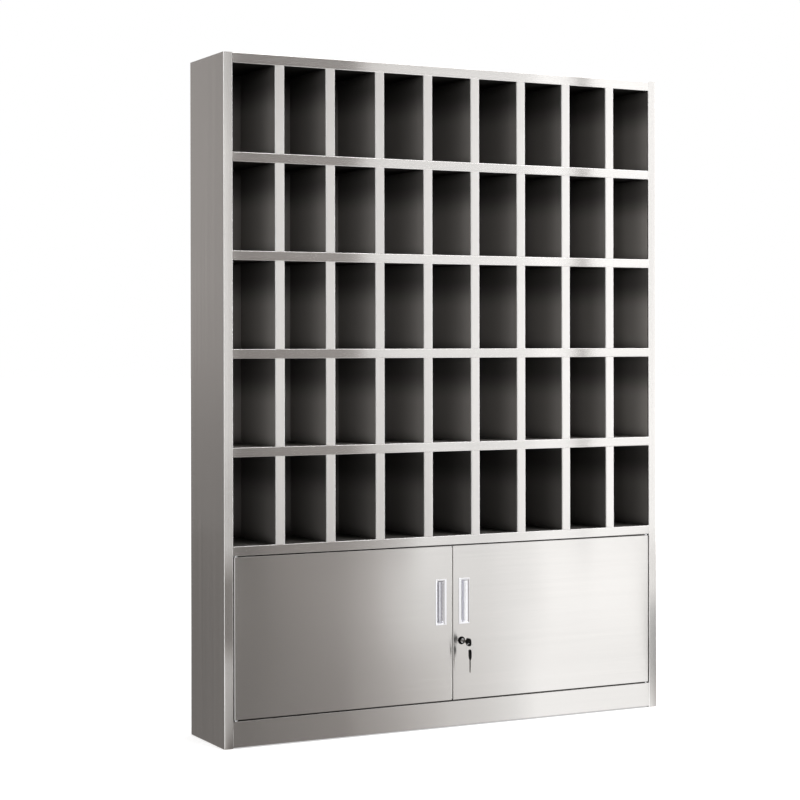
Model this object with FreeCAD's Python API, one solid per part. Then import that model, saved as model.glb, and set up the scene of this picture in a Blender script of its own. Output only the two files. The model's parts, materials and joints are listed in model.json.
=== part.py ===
"""Free-standing stainless steel cabinet with open compartments over a two-door cupboard.

Millimetres, +Z up, front towards -Y. The origin is at floor level, in the middle of the carcass
footprint. Every function builds one sub-part from the driving dimensions below.
"""

import FreeCAD
import Part
import math
import os

# Carcass
WIDTH = 1340.0
DEPTH = 235.0
HEIGHT = 1800.0
SHEET = 1.0
FOLD_INSIDE = 1.0
COLUMNS = 9
ROWS = 5
STILE = 25.5
DIVIDER = 26.5
SHELF = 25.0
TOP_LIP = 27.0
KICK_TOP = 71.0
CUPBOARD_OPENING = 427.0
KICK_CLEAR = 3.0
UPPER_RETURN = 6.0
LOWER_RETURN = 22.0
LINER_FLANGE = 12.0
REAR_FLANGE = 15.0
FOOT_FLANGE = 20.0
KICK_TOP_FLANGE = 25.0
KICK_FOOT_FLANGE = 15.0
FLOOR_LAP = 12.0
FLOOR_REAR_FLANGE = 20.0
FLOOR_SLOT_FIT = 0.5
SUPPORT_WIDTH = 60.0
SUPPORT_SET_IN = 30.0

# Doors
DOOR_GAP = 3.0
MIDDLE_GAP = 4.0
DOOR_DEPTH = 20.0
DOOR_LIP = 12.0
DOOR_CORNER = 1.6
DOOR_EDGE = 1.5
STIFFENER_CROWN = 44.0
STIFFENER_DEPTH = 12.0
STIFFENER_FOOT = 12.0
STIFFENER_END_GAP = 1.0

# Hinge pins, one above and one below each door
HINGE_IN = 6.0
HINGE_BACK = 6.0
PIN_RADIUS = 2.5
PIN_HEAD_RADIUS = 3.8
PIN_HEAD = 3.0
PIN_REACH = 8.0
PIN_FIT = 0.05
BUSH_WALL = 1.3
BUSH_SIDE_CLEAR = 0.4
BUSH_FLANGE = 1.2
BUSH_BELOW = 7.0
WASHER_WALL = 2.3
WASHER_PLAY = 0.3
SEAT_FIT = 0.05

# Recessed handle, the same on both doors and mirrored
HANDLE_WIDTH = 34.0
HANDLE_HEIGHT = 125.0
HANDLE_FROM_MIDDLE = 19.0
HANDLE_BELOW_DOOR_TOP = 89.5
HANDLE_PROUD = 1.2
HANDLE_EDGE = 0.6
HANDLE_WALL = 1.2
HANDLE_END_BORDER = 5.0
HANDLE_OUTER_BORDER = 5.0
HANDLE_GRIP = 9.0
HANDLE_GRIP_THICKNESS = 2.6
HANDLE_CUP_DEPTH = 14.0
HANDLE_CUP_SIDE = 4.0
HANDLE_CUP_FLOOR = 11.0
HANDLE_CUP_ROUND = 3.0
HANDLE_CUP_SLOPE_ROUND = 6.0
HANDLE_CUP_EXIT_ROUND = 1.5
HANDLE_FIT = 0.4

# Cam lock in the right door
LOCK_FROM_MIDDLE = 28.0
LOCK_BELOW_HANDLE = 45.5
LOCK_RIM_RADIUS = 10.0
LOCK_RIM_PROUD = 5.0
LOCK_RIM_EDGE = 3.0
LOCK_BARREL_RADIUS = 8.0
LOCK_BARREL_FIT = 0.15
LOCK_NUT_ACROSS = 22.0
LOCK_NUT_THICKNESS = 4.0
LOCK_NUT_FIT = 0.1
PLUG_RADIUS = 5.5
PLUG_FIT = 0.06
PLUG_TENON = 6.0
PLUG_TENON_FIT = 0.05
KEYWAY_DEPTH = 15.0
CAM_CLEAR = 1.2
CAM_THICKNESS = 2.0
CAM_WIDTH = 15.0
CAM_CATCH = 10.0
CAM_SCREW_RADIUS = 2.0
CAM_SCREW_LENGTH = 6.0
CAM_SCREW_HEAD_RADIUS = 4.5
CAM_SCREW_HEAD = 2.5
CAM_SCREW_SLOT = 1.0
CAM_SCREW_SLOT_DEPTH = 1.2

# Keys and their ring
KEY_THICKNESS = 2.0
KEY_BLADE_HEIGHT = 7.5
KEY_SLOT_FIT = 0.15
KEY_CUTS = [1.2, 0.6, 1.4, 0.9, 1.1]
KEY_CUT_PITCH = 2.5
KEY_CUT_START = 1.6
KEY_TIP = 1.9
KEY_TANG = 8.0
KEY_SHANK_OUT = 20.0
KEY_NECK_HEIGHT = 11.0
KEY_NECK_LENGTH = 4.0
BOW_LENGTH = 23.0
BOW_HEIGHT = 21.0
BOW_THICKNESS = 4.0
BOW_CORNER = 8.0
BOW_SHOULDER_ROUND = 4.0
BOW_EDGE = 0.8
KEY_HOLE_RADIUS = 2.5
KEY_HOLE_IN = 4.5
RING_WIRE_RADIUS = 0.7
RING_RADIUS = 10.5
RING_PLAY = 0.5
SPARE_TWIST = -15.0

# Slide bolt on the back of the left door
BOLT_FROM_MIDDLE = 20.0
BOLT_BACK = 10.5
BOLT_RADIUS = 3.0
BOLT_FIT = 0.06
BOLT_LENGTH = 62.0
BOLT_CHAMFER = 0.6
BOLT_END_IN = 0.5
BOLT_TRAVEL = 12.0
BOLT_HOLE_FIT = 0.4
GUIDE_WIDTH = 16.0
GUIDE_HEIGHT = 40.0
GUIDE_BELOW_TOP = 18.0
GUIDE_SHEET = 1.2
GUIDE_LUG = 3.0
GUIDE_LUG_BEYOND = 5.0
KNOB_RADIUS = 3.5
KNOB_EDGE = 0.9
KNOB_STEM_RADIUS = 1.8
KNOB_LENGTH = 9.0
KNOB_STEM_LENGTH = 7.0
KNOB_BELOW_LUG = 9.0

# Magnetic catches under the deck
CATCH_FROM_MIDDLE = 92.0
CATCH_LENGTH = 46.0
CATCH_HEIGHT = 12.0
CATCH_DEPTH = 16.0
CATCH_EAR = 8.0
CATCH_EAR_THICKNESS = 2.5
CATCH_SCREW_RADIUS = 1.5
CATCH_SCREW_HEAD_RADIUS = 3.0
CATCH_SCREW_HEAD = 1.4
CATCH_SCREW_FIT = 0.1
MAGNET_LENGTH = 30.0
MAGNET_HEIGHT = 4.0
MAGNET_DEPTH = 8.0
MAGNET_PROUD = 0.5
MAGNET_AIR = 0.3
STRIKE_LENGTH = 40.0
STRIKE_HEIGHT = 10.0
STRIKE_SHEET = 1.2
STRIKE_RIVET_RADIUS = 1.5
STRIKE_RIVET_IN = 5.0

# Places worked out from the driving dimensions
FRONT = -DEPTH / 2
BACK = DEPTH / 2
FOLD = FOLD_INSIDE + SHEET
INNER = WIDTH / 2 - STILE
SKIN_INNER = WIDTH / 2 - SHEET
BACK_INNER = BACK - 2 * SHEET
OPENING_WIDTH = (2 * INNER - (COLUMNS - 1) * DIVIDER) / COLUMNS
TOP_CEILING = HEIGHT - TOP_LIP
DECK_UNDER = KICK_TOP + CUPBOARD_OPENING
DECK_TOP = DECK_UNDER + SHELF
OPENING_HEIGHT = (TOP_CEILING - DECK_TOP - (ROWS - 1) * SHELF) / ROWS
ROW_PITCH = OPENING_HEIGHT + SHELF
DOOR_TOP = DECK_UNDER - DOOR_GAP
DOOR_BOTTOM = KICK_TOP + DOOR_GAP
DOOR_OUTER = INNER - DOOR_GAP
DOOR_INNER = MIDDLE_GAP / 2
DOOR_BACK = FRONT + DOOR_DEPTH
HINGE_X = DOOR_OUTER - HINGE_IN
HINGE_Y = FRONT + HINGE_BACK
BUSH_RADIUS = PIN_RADIUS + BUSH_WALL
BUSH_FLANGE_RADIUS = min(HINGE_IN, HINGE_BACK) - SHEET - BUSH_SIDE_CLEAR
WASHER_RADIUS = PIN_RADIUS + WASHER_WALL
HANDLE_MIDDLE_Z = DOOR_TOP - HANDLE_BELOW_DOOR_TOP - HANDLE_HEIGHT / 2
LOCK_Z = HANDLE_MIDDLE_Z - HANDLE_HEIGHT / 2 - LOCK_BELOW_HANDLE
CAM_FRONT = DOOR_BACK + CAM_CLEAR
CAM_BACK = CAM_FRONT + CAM_THICKNESS
RIM_FRONT = FRONT - LOCK_RIM_PROUD
KEYWAY_END = RIM_FRONT + KEYWAY_DEPTH
NECK_END = RIM_FRONT - KEY_SHANK_OUT
KEY_BLADE_LENGTH = KEYWAY_END - KEY_SLOT_FIT - NECK_END
BOW_END = NECK_END - KEY_NECK_LENGTH - BOW_LENGTH
KEY_HOLE_Y = BOW_END + KEY_HOLE_IN
RING_TOP_Z = LOCK_Z - KEY_HOLE_RADIUS + RING_WIRE_RADIUS + RING_PLAY
RING_MIDDLE_Z = RING_TOP_Z - RING_RADIUS
SPARE_HOLE_Z = RING_MIDDLE_Z - RING_RADIUS - KEY_HOLE_RADIUS + RING_WIRE_RADIUS + RING_PLAY
BOLT_X = -BOLT_FROM_MIDDLE
BOLT_Y = FRONT + BOLT_BACK
STRIKE_FRONT = DOOR_BACK
STRIKE_BACK = DOOR_BACK + STRIKE_SHEET
MAGNET_FRONT = STRIKE_BACK + MAGNET_AIR
CATCH_FRONT = MAGNET_FRONT + MAGNET_PROUD

X_AXIS = FreeCAD.Vector(1, 0, 0)
Y_AXIS = FreeCAD.Vector(0, 1, 0)
Z_AXIS = FreeCAD.Vector(0, 0, 1)


def block(x_pair, y_pair, z_pair):
    """A box between two values on each axis, given in either order."""
    low = [min(pair) for pair in (x_pair, y_pair, z_pair)]
    high = [max(pair) for pair in (x_pair, y_pair, z_pair)]
    size = [top - bottom for bottom, top in zip(low, high)]
    return Part.makeBox(size[0], size[1], size[2], FreeCAD.Vector(low[0], low[1], low[2]))


def rod(radius, start, direction, length):
    """A cylinder from its first end's centre along a direction."""
    return Part.makeCylinder(radius, length, FreeCAD.Vector(*start), direction)


def joined(shapes):
    """One solid from shapes that overlap or share faces."""
    whole = shapes[0]
    for shape in shapes[1:]:
        whole = whole.fuse(shape)
    return whole.removeSplitter()


def group(solids):
    """Separate solids kept side by side in one sub-part."""
    return Part.makeCompound(solids)


def rounded_loop(points, radii):
    """A closed wire through 3-D points, with each corner rounded by a tangent arc of its radius."""
    starts = []
    ends = []
    middles = []
    for index, corner in enumerate(points):
        before = (points[index - 1] - corner).normalize()
        after = (points[(index + 1) % len(points)] - corner).normalize()
        radius = radii[index]
        if radius <= 0:
            starts.append(corner)
            ends.append(corner)
            middles.append(None)
            continue
        half = before.getAngle(after) / 2
        reach = radius / math.tan(half)
        bisector = (before + after).normalize()
        centre = corner + bisector * (radius / math.sin(half))
        starts.append(corner + before * reach)
        ends.append(corner + after * reach)
        middles.append(centre - bisector * radius)
    edges = []
    for index, middle in enumerate(middles):
        if middle is not None:
            edges.append(Part.Arc(starts[index], middle, ends[index]).toShape())
        following = starts[(index + 1) % len(points)]
        edges.append(Part.LineSegment(ends[index], following).toShape())
    return Part.Wire(edges)


def sheet_outline(path, side):
    """The closed outline of a folded sheet, as points and corner radii.

    path holds the corners along one face of the sheet. The sheet's thickness lies to the left of
    the path for side 1 and to the right for side -1. Each fold is round outside and in.
    """
    count = len(path)
    normals = []
    for first, second in zip(path, path[1:]):
        run = (second[0] - first[0], second[1] - first[1])
        length = math.hypot(*run)
        normals.append((-run[1] / length * side, run[0] / length * side))
    other = []
    near_radii = [0.0] * count
    far_radii = [0.0] * count
    for index, point in enumerate(path):
        before = normals[max(index - 1, 0)]
        after = normals[min(index, count - 2)]
        scale = SHEET / (1 + before[0] * after[0] + before[1] * after[1])
        offset = ((before[0] + after[0]) * scale, (before[1] + after[1]) * scale)
        other.append((point[0] + offset[0], point[1] + offset[1]))
        if 0 < index < count - 1:
            turn = (before[0] * after[1] - before[1] * after[0]) * side
            near_radii[index] = FOLD if turn > 0 else FOLD_INSIDE
            far_radii[index] = FOLD_INSIDE if turn > 0 else FOLD
    points = list(path) + other[::-1]
    return points, near_radii + far_radii[::-1]


def folded_upright(path, side, z_low, z_high):
    """A folded sheet whose outline lies in plan and that runs up from z_low to z_high."""
    outline, radii = sheet_outline(path, side)
    corners = [FreeCAD.Vector(x, y, z_low) for x, y in outline]
    return Part.Face(rounded_loop(corners, radii)).extrude(Z_AXIS * (z_high - z_low))


def folded_across(path, side, x_low, x_high):
    """A folded sheet whose outline lies in the (y, z) plane and that runs from x_low to x_high."""
    outline, radii = sheet_outline(path, side)
    corners = [FreeCAD.Vector(x_low, y, z) for y, z in outline]
    return Part.Face(rounded_loop(corners, radii)).extrude(X_AXIS * (x_high - x_low))


def channel_across(z_low, z_high, x_low, x_high):
    """A shelf's box section: bottom sheet, front lip and top sheet, open against the back panel."""
    path = [(BACK_INNER, z_low), (FRONT, z_low), (FRONT, z_high), (BACK_INNER, z_high)]
    return folded_across(path, -1, x_low, x_high)


def side_panel(side):
    """Outer skin folded at the front into the stile and at the back into a flange.

    side is -1 for left and 1 for right. The stile's return is short beside the compartments and
    deeper beside the doors.
    """
    outer = side * WIDTH / 2
    inner = side * INNER
    rear = (side * (WIDTH / 2 - REAR_FLANGE), BACK)
    lower = [rear, (outer, BACK), (outer, FRONT), (inner, FRONT), (inner, FRONT + LOWER_RETURN)]
    upper = lower[:-1] + [(inner, FRONT + UPPER_RETURN)]
    lower_part = folded_upright(lower, -side, 0, DECK_UNDER)
    upper_part = folded_upright(upper, -side, DECK_UNDER, HEIGHT)
    foot = block(
        (side * SKIN_INNER, side * (SKIN_INNER - FOOT_FLANGE)),
        (FRONT + FOLD, BACK_INNER),
        (0, SHEET),
    )
    panel = joined([lower_part, upper_part, foot])
    return_top = block(
        (side * (INNER + SHEET), inner),
        (FRONT + FOLD, FRONT + UPPER_RETURN),
        (HEIGHT - SHEET, HEIGHT),
    )
    rear_top = block((side * SKIN_INNER, rear[0]), (BACK_INNER, BACK), (HEIGHT - SHEET, HEIGHT))
    return panel.cut(return_top).cut(rear_top)


def side_liner(side):
    """Inner wall beside the first or last column, with a front flange and a closing bottom flange."""
    wall = (side * INNER, side * (INNER + SHEET))
    front = FRONT + UPPER_RETURN
    top = HEIGHT - SHEET
    upright = block(wall, (front, BACK_INNER), (DECK_UNDER, top))
    flange = block((side * INNER, side * (INNER + LINER_FLANGE)), (front, front + SHEET), (DECK_UNDER, top))
    under = block(
        (side * INNER, side * SKIN_INNER),
        (front, BACK_INNER),
        (DECK_UNDER, DECK_UNDER + SHEET),
    )
    return joined([upright, flange, under])


def top_panel():
    """Box section with the top lip, closed over the side panels' hollows at both ends."""
    section = channel_across(TOP_CEILING, HEIGHT, -INNER, INNER)
    caps = [
        block(
            (side * (INNER - FOLD), side * SKIN_INNER),
            (FRONT + FOLD, BACK_INNER),
            (HEIGHT - SHEET, HEIGHT),
        )
        for side in (-1, 1)
    ]
    rear_edge = block((-SKIN_INNER, SKIN_INNER), (BACK_INNER - FOLD, BACK), (HEIGHT - SHEET, HEIGHT))
    return joined([section] + caps + [rear_edge])


def shelf(number):
    """Compartment shelf under row number, counted from the top."""
    top = TOP_CEILING - number * OPENING_HEIGHT - (number - 1) * SHELF
    return channel_across(top - SHELF, top, -INNER, INNER)


def deck_panel():
    """The shelf over the cupboard, with holes below for the hinge pins and the slide bolt."""
    panel = channel_across(DECK_UNDER, DECK_TOP, -INNER, INNER)
    for side in (-1, 1):
        place = (side * HINGE_X, HINGE_Y, DECK_UNDER - SHEET)
        panel = panel.cut(rod(PIN_RADIUS + SEAT_FIT, place, Z_AXIS, 3 * SHEET))
    bolt_place = (BOLT_X, BOLT_Y, DECK_UNDER - SHEET)
    return panel.cut(rod(BOLT_RADIUS + BOLT_HOLE_FIT, bolt_place, Z_AXIS, 3 * SHEET))


def divider_row(number):
    """The dividers of one row of compartments, each a channel with its lip to the front."""
    top = TOP_CEILING - (number - 1) * ROW_PITCH
    pieces = []
    for column in range(1, COLUMNS):
        left = -INNER + column * OPENING_WIDTH + (column - 1) * DIVIDER
        right = left + DIVIDER
        path = [(left, BACK_INNER), (left, FRONT), (right, FRONT), (right, BACK_INNER)]
        pieces.append(folded_upright(path, 1, top - OPENING_HEIGHT, top))
    return group(pieces)


def back_panel():
    """Flat sheet inside the side panels' rear flanges, clear of their folds."""
    reach = SKIN_INNER - FOLD_INSIDE
    return block((-reach, reach), (BACK_INNER, BACK - SHEET), (0, HEIGHT - SHEET))


def kick_plate():
    """Front plate under the doors, with a top flange for the floor and a foot flange."""
    path = [
        (FRONT + KICK_FOOT_FLANGE, KICK_CLEAR),
        (FRONT, KICK_CLEAR),
        (FRONT, KICK_TOP),
        (FRONT + KICK_TOP_FLANGE, KICK_TOP),
    ]
    plate = folded_across(path, -1, -INNER, INNER)
    for side in (-1, 1):
        place = (side * HINGE_X, HINGE_Y, KICK_TOP - 2 * SHEET)
        plate = plate.cut(rod(PIN_RADIUS + SEAT_FIT, place, Z_AXIS, 3 * SHEET))
    return plate


def cupboard_floor():
    """Sheet that laps under the kick plate's flange and is folded down at the back.

    A slot takes each stile's return, and an ear beyond the slot closes the hollow of the stile.
    """
    front = FRONT + KICK_TOP_FLANGE - FLOOR_LAP
    top = KICK_TOP - SHEET
    path = [(front, top), (BACK_INNER, top), (BACK_INNER, top - FLOOR_REAR_FLANGE)]
    sheet = folded_across(path, -1, -SKIN_INNER, SKIN_INNER)
    for side in (-1, 1):
        ear = block(
            (side * INNER, side * SKIN_INNER),
            (FRONT + FOLD, FRONT + LOWER_RETURN),
            (top - SHEET, top),
        )
        slot = block(
            (side * (INNER - FLOOR_SLOT_FIT), side * (INNER + SHEET + FLOOR_SLOT_FIT)),
            (FRONT, FRONT + LOWER_RETURN + FLOOR_SLOT_FIT),
            (0, KICK_TOP),
        )
        sheet = joined([sheet, ear]).cut(slot)
    return sheet


def floor_support():
    """Channel from front to back under the middle of the floor, standing on the ground."""
    half = SUPPORT_WIDTH / 2
    top = KICK_TOP - 2 * SHEET
    y_pair = (FRONT + SUPPORT_SET_IN, BACK_INNER - SUPPORT_SET_IN)
    foot = block((-half, half), y_pair, (0, SHEET))
    head = block((-half, half), y_pair, (top - SHEET, top))
    web = block((half - SHEET, half), y_pair, (0, top))
    return joined([foot, head, web])


def hinge_pins(side):
    """Headed pins through the deck's lower sheet and through the kick plate's flange."""
    x = side * HINGE_X
    flange_top = DECK_UNDER + SHEET
    length = PIN_REACH + DOOR_GAP + SHEET
    upper = joined([
        rod(PIN_RADIUS, (x, HINGE_Y, flange_top - length), Z_AXIS, length + PIN_HEAD),
        rod(PIN_HEAD_RADIUS, (x, HINGE_Y, flange_top), Z_AXIS, PIN_HEAD),
    ])
    flange_under = KICK_TOP - SHEET
    lower = joined([
        rod(PIN_RADIUS, (x, HINGE_Y, flange_under - PIN_HEAD), Z_AXIS, length + PIN_HEAD),
        rod(PIN_HEAD_RADIUS, (x, HINGE_Y, flange_under - PIN_HEAD), Z_AXIS, PIN_HEAD),
    ])
    return group([upper, lower])


def hinge_washers(side):
    """Washers on the pins, in the gaps above and below the door."""
    x = side * HINGE_X
    thickness = DOOR_GAP - WASHER_PLAY
    pieces = []
    for bottom in (DECK_UNDER - thickness, KICK_TOP):
        washer = rod(WASHER_RADIUS, (x, HINGE_Y, bottom), Z_AXIS, thickness)
        pieces.append(washer.cut(rod(PIN_RADIUS + SEAT_FIT, (x, HINGE_Y, bottom), Z_AXIS, thickness)))
    return group(pieces)


def door_pan(side):
    """Door skin folded into a pan, with lips at the back and holes for what it carries."""
    x_pair = (side * DOOR_INNER, side * DOOR_OUTER)
    body = block(x_pair, (FRONT, DOOR_BACK), (DOOR_BOTTOM, DOOR_TOP))
    upright = [edge for edge in body.Edges if edge.BoundBox.YLength > DOOR_DEPTH / 2]
    body = body.makeFillet(DOOR_CORNER, upright)
    rim = [edge for edge in body.Edges if edge.BoundBox.YMax < FRONT + SHEET / 2]
    body = body.makeFillet(DOOR_EDGE, rim)
    hollow = block(
        (side * (DOOR_INNER + SHEET), side * (DOOR_OUTER - SHEET)),
        (FRONT + SHEET, DOOR_BACK - SHEET),
        (DOOR_BOTTOM + SHEET, DOOR_TOP - SHEET),
    )
    window = block(
        (side * (DOOR_INNER + DOOR_LIP), side * (DOOR_OUTER - DOOR_LIP)),
        (DOOR_BACK - 2 * SHEET, DOOR_BACK + SHEET),
        (DOOR_BOTTOM + DOOR_LIP, DOOR_TOP - DOOR_LIP),
    )
    body = body.cut(hollow).cut(window)
    handle_from = HANDLE_FROM_MIDDLE + HANDLE_CUP_SIDE - HANDLE_WALL - HANDLE_FIT
    handle_to = HANDLE_FROM_MIDDLE + HANDLE_WIDTH - HANDLE_OUTER_BORDER + HANDLE_WALL + HANDLE_FIT
    half_height = HANDLE_HEIGHT / 2 - HANDLE_END_BORDER + HANDLE_WALL + HANDLE_FIT
    cuts = [block(
        (side * handle_from, side * handle_to),
        (FRONT - SHEET, FRONT + 2 * SHEET),
        (HANDLE_MIDDLE_Z - half_height, HANDLE_MIDDLE_Z + half_height),
    )]
    bush_hole = BUSH_RADIUS + SEAT_FIT
    for low in (DOOR_BOTTOM - SHEET, DOOR_TOP - 2 * SHEET):
        cuts.append(rod(bush_hole, (side * HINGE_X, HINGE_Y, low), Z_AXIS, 3 * SHEET))
    if side < 0:
        bolt_place = (BOLT_X, BOLT_Y, DOOR_TOP - 2 * SHEET)
        cuts.append(rod(BOLT_RADIUS + BOLT_HOLE_FIT, bolt_place, Z_AXIS, 3 * SHEET))
    else:
        lock_place = (LOCK_FROM_MIDDLE, FRONT - SHEET, LOCK_Z)
        cuts.append(rod(LOCK_BARREL_RADIUS + LOCK_BARREL_FIT, lock_place, Y_AXIS, 3 * SHEET))
    for cut in cuts:
        body = body.cut(cut)
    return body


def door_stiffener(side):
    """Hat channel up the inside of the door skin, half way across the door."""
    middle = side * (DOOR_INNER + DOOR_OUTER) / 2
    half = STIFFENER_CROWN / 2
    skin = FRONT + SHEET
    crown = skin + STIFFENER_DEPTH
    path = [
        (middle - half - STIFFENER_FOOT, skin),
        (middle - half, skin),
        (middle - half, crown),
        (middle + half, crown),
        (middle + half, skin),
        (middle + half + STIFFENER_FOOT, skin),
    ]
    low = DOOR_BOTTOM + SHEET + STIFFENER_END_GAP
    high = DOOR_TOP - SHEET - STIFFENER_END_GAP
    return folded_upright(path, 1, low, high)


def handle(side):
    """Recessed pull: a bordered face plate, a grip edge towards the door's free edge and a cup.

    Across the handle, u grows from the free edge's side of the plate, and depth goes inwards.
    """
    def at(u):
        return side * (HANDLE_FROM_MIDDLE + u)

    half = HANDLE_HEIGHT / 2
    z_pair = (HANDLE_MIDDLE_Z - half, HANDLE_MIDDLE_Z + half)
    cup_half = half - HANDLE_END_BORDER
    plate = block((at(0), at(HANDLE_WIDTH)), (FRONT - HANDLE_PROUD, FRONT), z_pair)
    shown = [edge for edge in plate.Edges if edge.BoundBox.YMax < FRONT - HANDLE_PROUD / 2]
    plate = plate.makeFillet(HANDLE_EDGE, shown)
    cup_end = HANDLE_WIDTH - HANDLE_OUTER_BORDER
    shell = block(
        (at(HANDLE_CUP_SIDE - HANDLE_WALL), at(cup_end + HANDLE_WALL)),
        (FRONT, FRONT + HANDLE_CUP_DEPTH + HANDLE_WALL),
        (HANDLE_MIDDLE_Z - cup_half - HANDLE_WALL, HANDLE_MIDDLE_Z + cup_half + HANDLE_WALL),
    )
    face = FRONT - HANDLE_PROUD
    under_grip = face + HANDLE_GRIP_THICKNESS
    floor = FRONT + HANDLE_CUP_DEPTH
    outline = [
        (HANDLE_GRIP, face - HANDLE_PROUD, 0.0),
        (HANDLE_GRIP, under_grip, 0.0),
        (HANDLE_CUP_SIDE, under_grip, 0.0),
        (HANDLE_CUP_SIDE, floor, HANDLE_CUP_ROUND),
        (HANDLE_CUP_SIDE + HANDLE_CUP_FLOOR, floor, HANDLE_CUP_SLOPE_ROUND),
        (cup_end, FRONT, HANDLE_CUP_EXIT_ROUND),
        (cup_end, face - HANDLE_PROUD, 0.0),
    ]
    low = HANDLE_MIDDLE_Z - cup_half
    corners = [FreeCAD.Vector(at(u), y, low) for u, y, _ in outline]
    radii = [radius for _, _, radius in outline]
    hollow = Part.Face(rounded_loop(corners, radii)).extrude(Z_AXIS * (2 * cup_half))
    return joined([plate, shell]).cut(hollow)


def hinge_bushes(side):
    """Flanged bushes in the door's top and bottom edges, in which the pins turn."""
    x = side * HINGE_X
    pieces = []
    for edge_z, into in ((DOOR_BOTTOM, 1), (DOOR_TOP, -1)):
        direction = Z_AXIS * into
        barrel = rod(BUSH_RADIUS, (x, HINGE_Y, edge_z), direction, SHEET + BUSH_BELOW)
        flange = rod(BUSH_FLANGE_RADIUS, (x, HINGE_Y, edge_z + into * SHEET), direction, BUSH_FLANGE)
        bore = rod(PIN_RADIUS + PIN_FIT, (x, HINGE_Y, edge_z), direction, PIN_REACH + SHEET)
        pieces.append(joined([barrel, flange]).cut(bore))
    return group(pieces)


def strike_places(side):
    """The x values of a strike's two rivets."""
    reach = STRIKE_LENGTH / 2 - STRIKE_RIVET_IN
    return [side * CATCH_FROM_MIDDLE + step * reach for step in (-1, 1)]


def strike(side):
    """Steel plate on the door's top lip, for the magnet to hold."""
    middle = side * CATCH_FROM_MIDDLE
    top = DOOR_TOP - SHEET
    plate = block(
        (middle - STRIKE_LENGTH / 2, middle + STRIKE_LENGTH / 2),
        (STRIKE_FRONT, STRIKE_BACK),
        (top - STRIKE_HEIGHT, top),
    )
    for x in strike_places(side):
        place = (x, STRIKE_FRONT, top - STRIKE_HEIGHT / 2)
        plate = plate.cut(rod(STRIKE_RIVET_RADIUS, place, Y_AXIS, STRIKE_SHEET))
    return plate


def strike_rivets(side):
    """Rivets that hold the strike, flush with its back face."""
    z = DOOR_TOP - SHEET - STRIKE_HEIGHT / 2
    return group([
        rod(STRIKE_RIVET_RADIUS, (x, STRIKE_FRONT, z), Y_AXIS, STRIKE_SHEET)
        for x in strike_places(side)
    ])


def lock_housing():
    """Barrel through the door with a round rim on the face, bored for the plug."""
    x = LOCK_FROM_MIDDLE
    rim = rod(LOCK_RIM_RADIUS, (x, RIM_FRONT, LOCK_Z), Y_AXIS, LOCK_RIM_PROUD)
    shown = [edge for edge in rim.Edges if edge.BoundBox.YMax < RIM_FRONT + LOCK_RIM_PROUD / 2]
    rim = rim.makeFillet(LOCK_RIM_EDGE, shown)
    barrel = rod(LOCK_BARREL_RADIUS, (x, FRONT, LOCK_Z), Y_AXIS, CAM_FRONT - FRONT)
    bore = rod(PLUG_RADIUS + PLUG_FIT, (x, RIM_FRONT, LOCK_Z), Y_AXIS, CAM_BACK - RIM_FRONT)
    return joined([rim, barrel]).cut(bore)


def lock_nut():
    """Hexagon nut that draws the lock's rim against the door skin."""
    radius = LOCK_NUT_ACROSS / math.sqrt(3)
    start = FRONT + SHEET
    corners = [
        FreeCAD.Vector(
            LOCK_FROM_MIDDLE + radius * math.cos(math.radians(60 * step)),
            start,
            LOCK_Z + radius * math.sin(math.radians(60 * step)),
        )
        for step in range(6)
    ]
    nut = Part.Face(Part.makePolygon(corners + corners[:1])).extrude(Y_AXIS * LOCK_NUT_THICKNESS)
    place = (LOCK_FROM_MIDDLE, start, LOCK_Z)
    return nut.cut(rod(LOCK_BARREL_RADIUS + LOCK_NUT_FIT, place, Y_AXIS, LOCK_NUT_THICKNESS))


def lock_plug():
    """Cylinder that the key turns, with a keyway in front and a square tenon for the cam."""
    x = LOCK_FROM_MIDDLE
    plug = rod(PLUG_RADIUS, (x, RIM_FRONT, LOCK_Z), Y_AXIS, CAM_FRONT - RIM_FRONT)
    half = PLUG_TENON / 2
    tenon = block((x - half, x + half), (CAM_FRONT, CAM_BACK), (LOCK_Z - half, LOCK_Z + half))
    keyway_x = KEY_THICKNESS / 2 + KEY_SLOT_FIT
    keyway_z = KEY_BLADE_HEIGHT / 2 + KEY_SLOT_FIT
    keyway = block(
        (x - keyway_x, x + keyway_x),
        (RIM_FRONT, KEYWAY_END),
        (LOCK_Z - keyway_z, LOCK_Z + keyway_z),
    )
    screw_hole = rod(CAM_SCREW_RADIUS, (x, CAM_BACK, LOCK_Z), -Y_AXIS, CAM_SCREW_LENGTH)
    return joined([plug, tenon]).cut(keyway).cut(screw_hole)


def lock_cam():
    """Flat cam on the plug's tenon. It hangs down when the lock is open."""
    x = LOCK_FROM_MIDDLE
    reach = LOCK_FROM_MIDDLE + DOOR_INNER + CAM_CATCH
    half = CAM_WIDTH / 2
    bar = block((x - half, x + half), (CAM_FRONT, CAM_BACK), (LOCK_Z - reach + half, LOCK_Z))
    ends = [
        rod(half, (x, CAM_FRONT, z), Y_AXIS, CAM_THICKNESS)
        for z in (LOCK_Z, LOCK_Z - reach + half)
    ]
    socket = PLUG_TENON / 2 + PLUG_TENON_FIT
    hole = block((x - socket, x + socket), (CAM_FRONT, CAM_BACK), (LOCK_Z - socket, LOCK_Z + socket))
    return joined([bar] + ends).cut(hole)


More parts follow.
